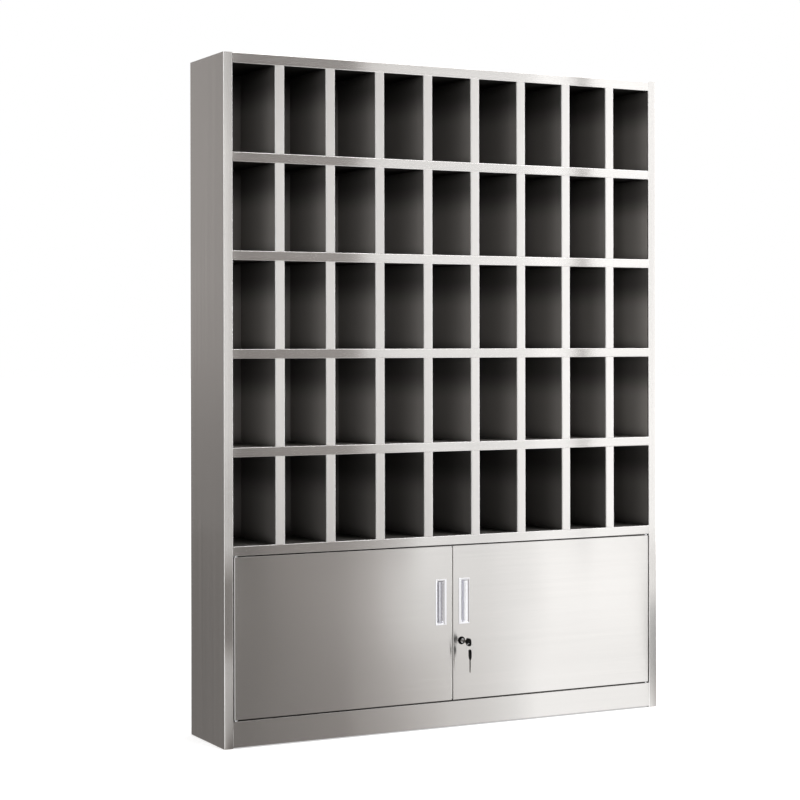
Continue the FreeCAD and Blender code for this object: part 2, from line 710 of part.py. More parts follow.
def cam_screw():
    """Screw that holds the cam on the plug."""
    x = LOCK_FROM_MIDDLE
    head = rod(CAM_SCREW_HEAD_RADIUS, (x, CAM_BACK, LOCK_Z), Y_AXIS, CAM_SCREW_HEAD)
    shank = rod(CAM_SCREW_RADIUS, (x, CAM_BACK, LOCK_Z), -Y_AXIS, CAM_SCREW_LENGTH)
    slot = block(
        (x - CAM_SCREW_HEAD_RADIUS, x + CAM_SCREW_HEAD_RADIUS),
        (CAM_BACK + CAM_SCREW_HEAD - CAM_SCREW_SLOT_DEPTH, CAM_BACK + CAM_SCREW_HEAD),
        (LOCK_Z - CAM_SCREW_SLOT / 2, LOCK_Z + CAM_SCREW_SLOT / 2),
    )
    return joined([head, shank]).cut(slot)


def key_blade():
    """Key blade with its tang, lying along +Y. The key's ring hole is at the origin.

    Both edges are notched by the key's cuts, on the part that stands in the lock.
    """
    neck_end = BOW_LENGTH - KEY_HOLE_IN + KEY_NECK_LENGTH
    half = KEY_BLADE_HEIGHT / 2
    flat = KEY_THICKNESS / 2
    end = neck_end + KEY_BLADE_LENGTH
    top = []
    for index, depth in enumerate(KEY_CUTS):
        middle = neck_end + KEY_SHANK_OUT + KEY_CUT_START + index * KEY_CUT_PITCH
        top += [(middle - depth, half), (middle, half - depth), (middle + depth, half)]
    upper = [(neck_end - KEY_TANG, half)] + top + [(end - KEY_TIP, half), (end, half - KEY_TIP)]
    outline = upper + [(y, -z) for y, z in upper[::-1]]
    corners = [FreeCAD.Vector(-flat, y, z) for y, z in outline]
    return Part.Face(Part.makePolygon(corners + corners[:1])).extrude(X_AXIS * KEY_THICKNESS)


def key_bow():
    """Moulded key head round the tang, with the ring hole through it at the origin."""
    half = BOW_HEIGHT / 2
    neck = KEY_NECK_HEIGHT / 2
    start = -KEY_HOLE_IN
    shoulder = BOW_LENGTH - KEY_HOLE_IN
    flat = BOW_THICKNESS / 2
    outline = [
        (start, -half, BOW_CORNER),
        (start, half, BOW_CORNER),
        (shoulder, half, BOW_SHOULDER_ROUND),
        (shoulder, neck, 0.0),
        (shoulder + KEY_NECK_LENGTH, neck, BOW_EDGE),
        (shoulder + KEY_NECK_LENGTH, -neck, BOW_EDGE),
        (shoulder, -neck, 0.0),
        (shoulder, -half, BOW_SHOULDER_ROUND),
    ]
    corners = [FreeCAD.Vector(-flat, y, z) for y, z, _ in outline]
    radii = [radius for _, _, radius in outline]
    bow = Part.Face(rounded_loop(corners, radii)).extrude(X_AXIS * BOW_THICKNESS)
    hole = rod(KEY_HOLE_RADIUS, (-flat, 0, 0), X_AXIS, BOW_THICKNESS)
    return bow.cut(hole).cut(key_blade())


def in_lock(shape):
    """Places a key part as the key that stands in the lock."""
    moved = shape.copy()
    moved.translate(FreeCAD.Vector(LOCK_FROM_MIDDLE, KEY_HOLE_Y, LOCK_Z))
    return moved


def on_ring(shape):
    """Places a key part as the spare key that hangs from the ring, blade down, a little twisted."""
    moved = shape.copy()
    moved.rotate(FreeCAD.Vector(0, 0, 0), X_AXIS, -90)
    moved.rotate(FreeCAD.Vector(0, 0, 0), Z_AXIS, SPARE_TWIST)
    moved.translate(FreeCAD.Vector(LOCK_FROM_MIDDLE, KEY_HOLE_Y, SPARE_HOLE_Z))
    return moved


def key_ring():
    """Wire ring through both keys' holes, square to the lock's axis."""
    middle = FreeCAD.Vector(LOCK_FROM_MIDDLE, KEY_HOLE_Y, RING_MIDDLE_Z)
    return Part.makeTorus(RING_RADIUS, RING_WIRE_RADIUS, middle, Y_AXIS)


def guide_top():
    """Height of the bolt guide's upper edge."""
    return DOOR_TOP - GUIDE_BELOW_TOP


def bolt_guide():
    """Base plate on the inside of the door skin, with two bored lugs for the bolt."""
    top = guide_top()
    x_pair = (BOLT_X - GUIDE_WIDTH / 2, BOLT_X + GUIDE_WIDTH / 2)
    skin = FRONT + SHEET
    parts = [block(x_pair, (skin, skin + GUIDE_SHEET), (top - GUIDE_HEIGHT, top))]
    for low in (top - GUIDE_HEIGHT, top - GUIDE_LUG):
        parts.append(block(x_pair, (skin, BOLT_Y + GUIDE_LUG_BEYOND), (low, low + GUIDE_LUG)))
    bore = rod(BOLT_RADIUS + BOLT_FIT, (BOLT_X, BOLT_Y, top - GUIDE_HEIGHT), Z_AXIS, GUIDE_HEIGHT)
    return joined(parts).cut(bore)


def knob_height():
    """Height of the bolt's knob when the bolt is drawn back."""
    return guide_top() - GUIDE_LUG - KNOB_BELOW_LUG - BOLT_TRAVEL


def bolt_rod():
    """Round bolt, drawn back, with its end just inside the door's top edge."""
    start = (BOLT_X, BOLT_Y, DOOR_TOP - BOLT_END_IN - BOLT_LENGTH)
    shaft = rod(BOLT_RADIUS, start, Z_AXIS, BOLT_LENGTH)
    nose = max(shaft.Edges, key=lambda edge: edge.BoundBox.ZMin)
    shaft = shaft.makeChamfer(BOLT_CHAMFER, [nose])
    stem_hole = rod(KNOB_STEM_RADIUS, (BOLT_X, BOLT_Y, knob_height()), Y_AXIS, BOLT_RADIUS)
    return shaft.cut(stem_hole)


def bolt_knob():
    """Thumb knob on a stem that is set in the bolt."""
    z = knob_height()
    stem = rod(KNOB_STEM_RADIUS, (BOLT_X, BOLT_Y, z), Y_AXIS, KNOB_STEM_LENGTH)
    head = rod(KNOB_RADIUS, (BOLT_X, BOLT_Y + KNOB_STEM_LENGTH, z), Y_AXIS, KNOB_LENGTH)
    far = max(head.Edges, key=lambda edge: edge.BoundBox.YMin)
    head = head.makeFillet(KNOB_EDGE, [far])
    return joined([stem, head])


def catch_screw_places(side):
    """The x values of one catch's two screws."""
    reach = CATCH_LENGTH / 2 + CATCH_EAR / 2
    return [side * CATCH_FROM_MIDDLE + step * reach for step in (-1, 1)]


def catch_housings():
    """Moulded magnet holders under the deck, with a screw ear at each end."""
    pieces = []
    middle_y = CATCH_FRONT + CATCH_DEPTH / 2
    for side in (-1, 1):
        middle = side * CATCH_FROM_MIDDLE
        half = CATCH_LENGTH / 2
        y_pair = (CATCH_FRONT, CATCH_FRONT + CATCH_DEPTH)
        body = block((middle - half, middle + half), y_pair, (DECK_UNDER - CATCH_HEIGHT, DECK_UNDER))
        reach = half + CATCH_EAR
        ear = block(
            (middle - reach, middle + reach),
            y_pair,
            (DECK_UNDER - CATCH_EAR_THICKNESS, DECK_UNDER),
        )
        pocket = block(
            (middle - MAGNET_LENGTH / 2, middle + MAGNET_LENGTH / 2),
            (CATCH_FRONT, CATCH_FRONT + MAGNET_DEPTH),
            magnet_span(),
        )
        housing = joined([body, ear]).cut(pocket)
        for x in catch_screw_places(side):
            place = (x, middle_y, DECK_UNDER - CATCH_EAR_THICKNESS)
            hole = rod(CATCH_SCREW_RADIUS + CATCH_SCREW_FIT, place, Z_AXIS, CATCH_EAR_THICKNESS)
            housing = housing.cut(hole)
        pieces.append(housing)
    return group(pieces)


def magnet_span():
    """The heights between which the magnets lie, level with the strikes."""
    middle = DOOR_TOP - SHEET - STRIKE_HEIGHT / 2
    return (middle - MAGNET_HEIGHT / 2, middle + MAGNET_HEIGHT / 2)


def catch_magnets():
    """Bar magnets that stand a little out of the housings."""
    return group([
        block(
            (side * CATCH_FROM_MIDDLE - MAGNET_LENGTH / 2, side * CATCH_FROM_MIDDLE + MAGNET_LENGTH / 2),
            (MAGNET_FRONT, CATCH_FRONT + MAGNET_DEPTH),
            magnet_span(),
        )
        for side in (-1, 1)
    ])


def catch_screws():
    """Screws up through the housings' ears, with their heads below."""
    pieces = []
    y = CATCH_FRONT + CATCH_DEPTH / 2
    head_top = DECK_UNDER - CATCH_EAR_THICKNESS
    for side in (-1, 1):
        for x in catch_screw_places(side):
            head_low = (x, y, head_top - CATCH_SCREW_HEAD)
            head = rod(CATCH_SCREW_HEAD_RADIUS, head_low, Z_AXIS, CATCH_SCREW_HEAD)
            shank = rod(CATCH_SCREW_RADIUS, (x, y, head_top), Z_AXIS, CATCH_EAR_THICKNESS)
            pieces.append(joined([head, shank]))
    return group(pieces)


def all_parts():
    """Every sub-part by its name."""
    parts = {
        "side_panel_left": side_panel(-1),
        "side_panel_right": side_panel(1),
        "side_liner_left": side_liner(-1),
        "side_liner_right": side_liner(1),
        "top_panel": top_panel(),
        "deck_panel": deck_panel(),
        "back_panel": back_panel(),
        "kick_plate": kick_plate(),
        "cupboard_floor": cupboard_floor(),
        "floor_support": floor_support(),
        "catch_housings": catch_housings(),
        "catch_magnets": catch_magnets(),
        "catch_screws": catch_screws(),
        "left_bolt_guide": bolt_guide(),
        "left_bolt_rod": bolt_rod(),
        "left_bolt_knob": bolt_knob(),
        "lock_housing": lock_housing(),
        "lock_nut": lock_nut(),
        "lock_plug": lock_plug(),
        "lock_cam": lock_cam(),
        "lock_cam_screw": cam_screw(),
        "key_blade": in_lock(key_blade()),
        "key_bow": in_lock(key_bow()),
        "key_ring": key_ring(),
        "spare_key_blade": on_ring(key_blade()),
        "spare_key_bow": on_ring(key_bow()),
    }
    for number in range(1, ROWS):
        parts[f"shelf_{number}"] = shelf(number)
    for number in range(1, ROWS + 1):
        parts[f"divider_row_{number}"] = divider_row(number)
    for name, side in (("left", -1), ("right", 1)):
        parts[f"{name}_door_pan"] = door_pan(side)
        parts[f"{name}_door_stiffener"] = door_stiffener(side)
        parts[f"{name}_handle"] = handle(side)
        parts[f"{name}_hinge_pins"] = hinge_pins(side)
        parts[f"{name}_hinge_washers"] = hinge_washers(side)
        parts[f"{name}_hinge_bushes"] = hinge_bushes(side)
        parts[f"{name}_strike"] = strike(side)
        parts[f"{name}_strike_rivets"] = strike_rivets(side)
    return parts


def main():
    """Writes each sub-part to its own file."""
    os.makedirs("parts", exist_ok=True)
    for name, shape in all_parts().items():
        shape.exportStep(f"parts/{name}.step")


main()
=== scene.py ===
"""Dressed scene of the stainless steel compartment cabinet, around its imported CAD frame.

Metres, +Z up, front towards -Y, origin on the floor in the middle of the carcass footprint.
"""

import json
import math

import bmesh
import bpy
import numpy as np
from mathutils import Matrix, Vector


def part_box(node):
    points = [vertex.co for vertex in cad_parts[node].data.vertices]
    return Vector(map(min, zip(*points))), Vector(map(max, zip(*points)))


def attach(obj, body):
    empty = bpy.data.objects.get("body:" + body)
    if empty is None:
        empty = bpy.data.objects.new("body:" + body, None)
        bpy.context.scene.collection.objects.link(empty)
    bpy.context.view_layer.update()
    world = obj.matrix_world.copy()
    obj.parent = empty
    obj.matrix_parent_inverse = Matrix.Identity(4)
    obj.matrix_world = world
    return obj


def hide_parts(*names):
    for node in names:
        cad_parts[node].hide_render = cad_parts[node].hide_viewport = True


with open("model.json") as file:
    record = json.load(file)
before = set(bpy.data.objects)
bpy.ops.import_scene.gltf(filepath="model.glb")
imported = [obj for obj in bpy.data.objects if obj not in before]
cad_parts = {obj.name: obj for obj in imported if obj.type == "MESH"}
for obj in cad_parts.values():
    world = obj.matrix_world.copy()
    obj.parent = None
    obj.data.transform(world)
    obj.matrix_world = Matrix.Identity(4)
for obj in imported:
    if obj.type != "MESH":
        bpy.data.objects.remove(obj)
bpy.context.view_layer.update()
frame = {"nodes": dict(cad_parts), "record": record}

# The cabinet's own places, as in the CAD
FRONT = -0.1175
BACK = 0.1175
SKIN = 0.670
HEIGHT = 1.800
CEILING = 1.773
ROW_PITCH = 0.255
DECK_UNDER = 0.498


# Shader nodes

def add(tree, kind, **values):
    """A new node of a kind, with its attributes set."""
    node = tree.nodes.new(kind)
    for name, value in values.items():
        setattr(node, name, value)
    return node


def feed(tree, target, source):
    """Puts a socket's link or a plain value into an input socket."""
    if isinstance(source, bpy.types.NodeSocket):
        tree.links.new(source, target)
    elif source is not None:
        target.default_value = source


def maths(tree, operation, first, second=None, third=None):
    """The result of a Math node on sockets or numbers."""
    node = add(tree, "ShaderNodeMath", operation=operation)
    for index, source in enumerate((first, second, third)):
        feed(tree, node.inputs[index], source)
    return node.outputs[0]


def scaled(tree, vector, scale, shift):
    """A vector multiplied by a scale, then moved."""
    node = add(tree, "ShaderNodeMapping")
    feed(tree, node.inputs["Vector"], vector)
    node.inputs["Scale"].default_value = scale
    node.inputs["Location"].default_value = shift
    return node.outputs[0]


def noise(tree, vector, scale, detail, roughness):
    """A noise pattern from 0 to 1 on a vector."""
    node = add(tree, "ShaderNodeTexNoise")
    feed(tree, node.inputs["Vector"], vector)
    node.inputs["Scale"].default_value = scale
    node.inputs["Detail"].default_value = detail
    node.inputs["Roughness"].default_value = roughness
    return node.outputs["Fac"]


def remap(tree, value, low, high, to_low, to_high, smooth=False):
    """A value carried from one range to another, held at its ends."""
    node = add(tree, "ShaderNodeMapRange", interpolation_type="SMOOTHSTEP" if smooth else "LINEAR")
    for index, source in enumerate((value, low, high, to_low, to_high)):
        feed(tree, node.inputs[index], source)
    return node.outputs[0]


def tinted(tree, colour, factor):
    """A colour multiplied by a grey factor."""
    node = add(tree, "ShaderNodeMix", data_type="RGBA", blend_type="MULTIPLY")
    node.inputs["Factor"].default_value = 1.0
    feed(tree, node.inputs[6], colour)
    grey = add(tree, "ShaderNodeCombineColor")
    for index in range(3):
        feed(tree, grey.inputs[index], factor)
    tree.links.new(grey.outputs[0], node.inputs[7])
    return node.outputs[2]


def blended(tree, factor, first, second):
    """Two colours mixed by a factor."""
    node = add(tree, "ShaderNodeMix", data_type="RGBA")
    feed(tree, node.inputs["Factor"], factor)
    feed(tree, node.inputs[6], first)
    feed(tree, node.inputs[7], second)
    return node.outputs[2]


def new_group(name, inputs, outputs):
    """An empty shader node group with its named sockets, and its two end nodes."""
    group = bpy.data.node_groups.new(name, "ShaderNodeTree")
    for socket_name, kind, default in inputs:
        socket = group.interface.new_socket(name=socket_name, in_out="INPUT", socket_type=kind)
        if default is not None:
            socket.default_value = default
    for socket_name, kind in outputs:
        group.interface.new_socket(name=socket_name, in_out="OUTPUT", socket_type=kind)
    return group, add(group, "NodeGroupInput"), add(group, "NodeGroupOutput")


FLOAT = "NodeSocketFloat"
VECTOR = "NodeSocketVector"


# Scale along and across the grain, shift, detail and roughness of each layer of noise
HAIR = ((6.0, 3000.0, 3000.0), (0.0, 0.0, 0.0), 3.0, 0.6)
STREAK = ((2.2, 520.0, 520.0), (3.1, 0.7, 5.3), 2.0, 0.55)
BAND = ((0.7, 60.0, 60.0), (9.4, 2.2, 1.3), 2.0, 0.5)
CLOUD = ((1.2, 3.0, 3.0), (4.0, 8.0, 2.0), 2.0, 0.5)
STREAK_SHARE = 0.6
MEAN_SUM = 0.8
STREAK_RISE = 0.5


def noise_layer(tree, vector, scale, shift, detail, roughness):
    """Noise stretched along the first axis of a vector."""
    return noise(tree, scaled(tree, vector, scale, shift), 1.0, detail, roughness)


def grain_group():
    """Brushed grain: streaks along the first axis of Grain Vector.

    Tone is 1 + Depth * (hair + 0.6 * streak - 0.8 + Band * (band - 0.5)), where hair, streak and band
    are noise stretched along the grain, at 0.3 mm, 2 mm and 17 mm across it. Height is the hair and
    half the streaks. Cloud is a soft unevenness of the whole sheet.
    """
    group, start, end = new_group(
        "brushed_grain",
        [("Grain Vector", VECTOR, None), ("Depth", FLOAT, 0.1), ("Band", FLOAT, 0.5)],
        [("Tone", FLOAT), ("Height", FLOAT), ("Cloud", FLOAT)],
    )
    vector = start.outputs["Grain Vector"]
    hair = noise_layer(group, vector, *HAIR)
    streak = noise_layer(group, vector, *STREAK)
    band = noise_layer(group, vector, *BAND)
    cloud = noise_layer(group, vector, *CLOUD)
    total = maths(group, "MULTIPLY_ADD", streak, STREAK_SHARE, hair)
    total = maths(group, "SUBTRACT", total, MEAN_SUM)
    wide = maths(group, "MULTIPLY", maths(group, "SUBTRACT", band, 0.5), start.outputs["Band"])
    total = maths(group, "ADD", total, wide)
    tone = maths(group, "MULTIPLY_ADD", total, start.outputs["Depth"], 1.0)
    height = maths(group, "MULTIPLY_ADD", streak, STREAK_RISE, hair)
    group.links.new(tone, end.inputs["Tone"])
    group.links.new(height, end.inputs["Height"])
    group.links.new(cloud, end.inputs["Cloud"])
    return group


GRAIN = grain_group()


def new_material(name):
    """A material with a Principled shader, its tree and the shader."""
    material = bpy.data.materials.new(name)
    material.use_nodes = True
    tree = material.node_tree
    tree.nodes.clear()
    shader = add(tree, "ShaderNodeBsdfPrincipled")
    out = add(tree, "ShaderNodeOutputMaterial")
    tree.links.new(shader.outputs[0], out.inputs["Surface"])
    return material, tree, shader


def object_vector(tree):
    """Object coordinates, in metres in the frame."""
    return add(tree, "ShaderNodeTexCoord").outputs["Object"]


def bumped(tree, shader, height, strength, distance):
    """Lets a height tilt the shader's normal."""
    bump = add(tree, "ShaderNodeBump")
    bump.inputs["Strength"].default_value = strength
    bump.inputs["Distance"].default_value = distance
    tree.links.new(height, bump.inputs["Height"])
    tree.links.new(bump.outputs[0], shader.inputs["Normal"])


def grain_tangent(tree, axis):
    """The direction in which the brushed reflection spreads: square to the grain, in the surface."""
    turn = add(
        tree, "ShaderNodeVectorTransform", vector_type="VECTOR", convert_from="OBJECT", convert_to="WORLD",
    )
    turn.inputs[0].default_value = axis
    normal = add(tree, "ShaderNodeNewGeometry").outputs["Normal"]
    cross = add(tree, "ShaderNodeVectorMath", operation="CROSS_PRODUCT")
    tree.links.new(normal, cross.inputs[0])
    tree.links.new(turn.outputs[0], cross.inputs[1])
    never_zero = add(tree, "ShaderNodeVectorMath", operation="ADD")
    tree.links.new(cross.outputs[0], never_zero.inputs[0])
    never_zero.inputs[1].default_value = (1e-4, 2e-4, 1e-4)
    return never_zero.outputs[0]


def parts_of(tree, vector):
    """The three parts of a vector, one socket each."""
    split = add(tree, "ShaderNodeSeparateXYZ")
    tree.links.new(vector, split.inputs[0])
    return split.outputs


def object_normal(tree):
    """The three parts of the surface's normal along the frame's axes, also where the body has turned."""
    turn = add(
        tree, "ShaderNodeVectorTransform", vector_type="NORMAL", convert_from="WORLD", convert_to="OBJECT",
    )
    tree.links.new(add(tree, "ShaderNodeNewGeometry").outputs["True Normal"], turn.inputs[0])
    return parts_of(tree, turn.outputs[0])


EDGE_BAND = 0.006
FACING = 0.3


def outside_mask(tree, vector, front, sides):
    """1 on the cabinet's show faces and 0 on the faces turned inwards.

    On show is what lies before the depth front, what lies further out than sides, and what faces
    backwards or upwards within EDGE_BAND of the back or the top.
    """
    x, y, z = parts_of(tree, vector)
    turned = object_normal(tree)
    forward = maths(tree, "LESS_THAN", y, front)
    at_back = maths(tree, "GREATER_THAN", y, BACK - EDGE_BAND)
    beyond = maths(tree, "MULTIPLY", at_back, maths(tree, "GREATER_THAN", turned[1], FACING))
    aside = maths(tree, "GREATER_THAN", maths(tree, "ABSOLUTE", x), sides)
    at_top = maths(tree, "GREATER_THAN", z, HEIGHT - EDGE_BAND)
    above = maths(tree, "MULTIPLY", at_top, maths(tree, "GREATER_THAN", turned[2], FACING))
    upright = maths(tree, "MAXIMUM", forward, beyond)
    return maths(tree, "MAXIMUM", upright, maths(tree, "MAXIMUM", aside, above))


FLAT_FROM = (0.90, 0.985)


def fold_mask(tree):
    """1 on the rounded folds, whose normals lie between the axes, and 0 on the flat sheet."""
    sizes = [maths(tree, "ABSOLUTE", output) for output in object_normal(tree)]
    largest = maths(tree, "MAXIMUM", maths(tree, "MAXIMUM", sizes[0], sizes[1]), sizes[2])
    return remap(tree, largest, *FLAT_FROM, 1.0, 0.0, smooth=True)


def lit_edges(tree, vector, limit):
    """1 on the upright edges, up to a place across the front, where the light from the left is painted as
    a highlight.
    """
    to_side = maths(tree, "GREATER_THAN", maths(tree, "ABSOLUTE", object_normal(tree)[0]), FACING)
    return maths(tree, "MULTIPLY", to_side, maths(tree, "LESS_THAN", parts_of(tree, vector)[0], limit))


# Painted shade inside the compartments, and painted light on the two end walls: two places, then the shade
# at each. The first four places are in rows counted down from the ceiling, the last one is metres from the
# middle.
UNDER_SHELF = (0.15, 0.48, 0.27, 0.77)
ABOVE_FLOOR = (0.78, 1.0, 1.0, 0.52)
HIGHEST_ROW = (0.95, 1.05, 0.82, 1.0)
LOWEST_ROW = (3.95, 4.05, 1.0, 0.54)
END_WALLS = (0.63, 0.64, 1.0, 1.45)


def painted_compartment_shade(tree, vector):
    """Painted shade inside: 1 in the cupboard, darker under each shelf, near each floor and in the highest
    and lowest rows, and painted lighter on the two end walls.
    """
    x, y, height = parts_of(tree, vector)
    rows_down = maths(tree, "DIVIDE", maths(tree, "SUBTRACT", CEILING, height), ROW_PITCH)
    place = maths(tree, "FRACT", rows_down)
    under_shelf = remap(tree, place, *UNDER_SHELF, smooth=True)
    above_floor = remap(tree, place, *ABOVE_FLOOR, smooth=True)
    highest = remap(tree, rows_down, *HIGHEST_ROW)
    lowest = remap(tree, rows_down, *LOWEST_ROW)
    at_ends = remap(tree, maths(tree, "ABSOLUTE", x), *END_WALLS)
    shade = maths(tree, "MULTIPLY", maths(tree, "MULTIPLY", under_shelf, above_floor), lowest)
    shade = maths(tree, "MULTIPLY", shade, maths(tree, "MULTIPLY", highest, at_ends))
    return maths(tree, "MAXIMUM", shade, maths(tree, "LESS_THAN", height, DECK_UNDER))


STEEL = (0.660, 0.645, 0.628)
DIVIDER_STEEL = (0.735, 0.719, 0.702)
# Painted highlight on the rounded folds
HIGHLIGHT_PAINTED_FOLD = (0.930, 0.920, 0.910)
# Painted shade on the doors' folds
SHADE_PAINTED_FOLD = (0.300, 0.292, 0.284)
INSIDE = (0.310, 0.294, 0.278)
# Painted shade on the inward faces that face downwards
DOWNWARD_PAINTED_SHADE = (-0.9, -0.3, 0.3, 1.0)
CLOUD_TONE = (0.3, 0.7, 0.96, 1.03)
TONE_TO_ROUGHNESS = 0.05
INSIDE_ROUGHER = 0.22
FOLD_LINE = FRONT + 0.0045
PAST_SIDES = 2.0
FOLD_ROUGHER = 0.12
LIT_DEPTH = 0.012
GRAIN_AXES = {"x": (1.0, 0.0, 0.0), "z": (0.0, 0.0, 1.0)}
SHEET_BUMP = (0.06, 0.0002)


def grain_vector(tree, vector, grain):
    """Object coordinates turned so that the grain's axis comes first."""
    if grain == "x":
        return vector
    x, y, z = parts_of(tree, vector)
    join = add(tree, "ShaderNodeCombineXYZ")
    for index, source in enumerate((z, x, y)):
        tree.links.new(source, join.inputs[index])
    return join.outputs[0]


def brushed_sheet(
    name, grain, colour, roughness,
    front=FOLD_LINE, sides=PAST_SIDES, fold=HIGHLIGHT_PAINTED_FOLD, depth=0.10, band=0.5, lit=None,
):
    """Brushed stainless sheet with its grain along an axis, darker and rougher on the faces turned
    inwards, which have painted shade on faces turned downwards and inside the compartments.

    front and sides bound the show faces. fold is the colour of the rounded folds: a painted highlight by
    default, and painted shade on the doors. Where lit is given, the upright edges up to that place get the
    painted highlight, and show to LIT_DEPTH behind the front.
    """
    material, tree, shader = new_material(name)
    vector = object_vector(tree)
    group = add(tree, "ShaderNodeGroup", node_tree=GRAIN)
    tree.links.new(grain_vector(tree, vector, grain), group.inputs["Grain Vector"])
    group.inputs["Depth"].default_value = depth
    group.inputs["Band"].default_value = band
    mask = outside_mask(tree, vector, front, sides)
    fold_colour = (*fold, 1.0)
    # Painted highlight on the upright edges up to lit, which also keep the show faces' colour to LIT_DEPTH
    # behind the front
    if lit is not None:
        edges = lit_edges(tree, vector, lit)
        fold_colour = blended(tree, edges, fold_colour, (*HIGHLIGHT_PAINTED_FOLD, 1.0))
        deep = outside_mask(tree, vector, FRONT + LIT_DEPTH, sides)
        mask = maths(tree, "MAXIMUM", mask, maths(tree, "MULTIPLY", deep, edges))
    # Painted shade on the inward faces that face downwards
    shade = remap(tree, object_normal(tree)[2], *DOWNWARD_PAINTED_SHADE)
    # Painted shade, and painted light on the end walls, inside the compartments
    shade = maths(tree, "MULTIPLY", shade, painted_compartment_shade(tree, vector))
    # The fold colour, painted highlight or painted shade, goes on the folds of the show faces
    folds = maths(tree, "MULTIPLY", fold_mask(tree), mask)
    shown = blended(tree, folds, (*colour, 1.0), fold_colour)
    base = blended(tree, mask, tinted(tree, (*INSIDE, 1.0), shade), shown)
    cloud = remap(tree, group.outputs["Cloud"], *CLOUD_TONE)
    tone = maths(tree, "MULTIPLY", group.outputs["Tone"], cloud)
    feed(tree, shader.inputs["Base Color"], tinted(tree, base, tone))
    plain = maths(
        tree, "MULTIPLY_ADD", group.outputs["Tone"], -TONE_TO_ROUGHNESS,
        roughness + TONE_TO_ROUGHNESS + INSIDE_ROUGHER,
    )
    shown_rough = maths(tree, "MULTIPLY_ADD", mask, -INSIDE_ROUGHER, plain)
    feed(tree, shader.inputs["Roughness"], maths(tree, "MULTIPLY_ADD", folds, FOLD_ROUGHER, shown_rough))
    shader.inputs["Metallic"].default_value = 1.0
    shader.inputs["Anisotropic"].default_value = 1.0
    feed(tree, shader.inputs["Tangent"], grain_tangent(tree, GRAIN_AXES[grain]))
    bumped(tree, shader, group.outputs["Height"], *SHEET_BUMP)
    return material


UNEVEN = 0.15
METAL_MOTTLE = (900.0, 3.0, 0.6)
METAL_RANGE = (0.25, 0.75)
METAL_TONE = (0.96, 1.04)
PLASTIC_DETAIL = (2.0, 0.6)
PLASTIC_RANGE = (0.2, 0.8)
PLASTIC_TONE = (0.9, 1.1)
PLASTIC_BUMP = 0.5


def uneven(roughness):
    """The smallest and the largest roughness of a surface that is mottled."""
    return roughness * (1.0 - UNEVEN), roughness * (1.0 + UNEVEN)


def metal(name, colour, roughness):
    """A plated metal with fine mottling in its colour and roughness."""
    material, tree, shader = new_material(name)
    fine = noise(tree, object_vector(tree), *METAL_MOTTLE)
    tone = remap(tree, fine, *METAL_RANGE, *METAL_TONE)
    rough = remap(tree, fine, *METAL_RANGE, *uneven(roughness))
    feed(tree, shader.inputs["Base Color"], tinted(tree, (*colour, 1.0), tone))
    feed(tree, shader.inputs["Roughness"], rough)
    shader.inputs["Metallic"].default_value = 1.0
    return material


def plastic(name, colour, roughness, grain_scale=1500.0, bump_depth=0.00003, specular=0.5):
    """Moulded plastic with a fine spark-eroded texture."""
    material, tree, shader = new_material(name)
    fine = noise(tree, object_vector(tree), grain_scale, *PLASTIC_DETAIL)
    tone = remap(tree, fine, *PLASTIC_RANGE, *PLASTIC_TONE)
    rough = remap(tree, fine, *PLASTIC_RANGE, *uneven(roughness))
    feed(tree, shader.inputs["Base Color"], tinted(tree, (*colour, 1.0), tone))
    feed(tree, shader.inputs["Roughness"], rough)
    shader.inputs["Specular IOR Level"].default_value = specular
    bumped(tree, shader, fine, PLASTIC_BUMP, bump_depth)
    return material


SHEET_ACROSS = brushed_sheet("brushed_sheet_across", "x", STEEL, 0.17)
SHEET_UPRIGHT = brushed_sheet(
    "brushed_sheet_upright", "z", STEEL, 0.13, sides=SKIN - 0.0006, depth=0.14, band=1.6,
)
DIVIDER_SHEET = brushed_sheet("brushed_divider_sheet", "z", DIVIDER_STEEL, 0.30)
# The doors' folds get painted shade, and their upright edges left of x = 10 mm a painted highlight
DOOR_SHEET = brushed_sheet(
    "brushed_door_sheet", "x", STEEL, 0.17, front=FRONT + 0.0030, fold=SHADE_PAINTED_FOLD, depth=0.07, lit=0.01,
)
SATIN_PLATE = metal("satin_handle_plate", (0.85, 0.85, 0.875), 0.17)
ZINC = metal("bright_zinc_plate", (0.68, 0.69, 0.71), 0.28)
CHROME = metal("polished_chrome_plate", (0.78, 0.78, 0.79), 0.06)
# The lock's chrome, with its dark reflection painted into its colour
CHROME_PAINTED_DARK = metal("chrome_with_painted_dark_reflection", (0.006, 0.006, 0.0065), 0.12)
KEY_METAL = metal("nickel_key_blank", (0.25, 0.24, 0.225), 0.22)
BLACK = plastic("black_moulding", (0.004, 0.004, 0.0042), 0.48, specular=0.06)
NYLON = plastic("natural_nylon", (0.82, 0.81, 0.78), 0.5)
MAGNET = plastic(
    "sintered_ferrite", (0.12, 0.12, 0.125), 0.6, grain_scale=700.0, bump_depth=0.00008,
)

SLOT_MATERIAL = {
    "satin_plate": SATIN_PLATE,
    "bright_zinc": ZINC,
    "chrome_plate": CHROME,
    "key_metal": KEY_METAL,
    "black_moulding": BLACK,
    "bearing_nylon": NYLON,
    "sintered_magnet": MAGNET,
}
UPRIGHT = ("side_panel", "back_panel", "floor_support")
DOOR_NODES = (
    "left_door_pan", "right_door_pan", "left_door_stiffener", "right_door_stiffener", "kick_plate",
)


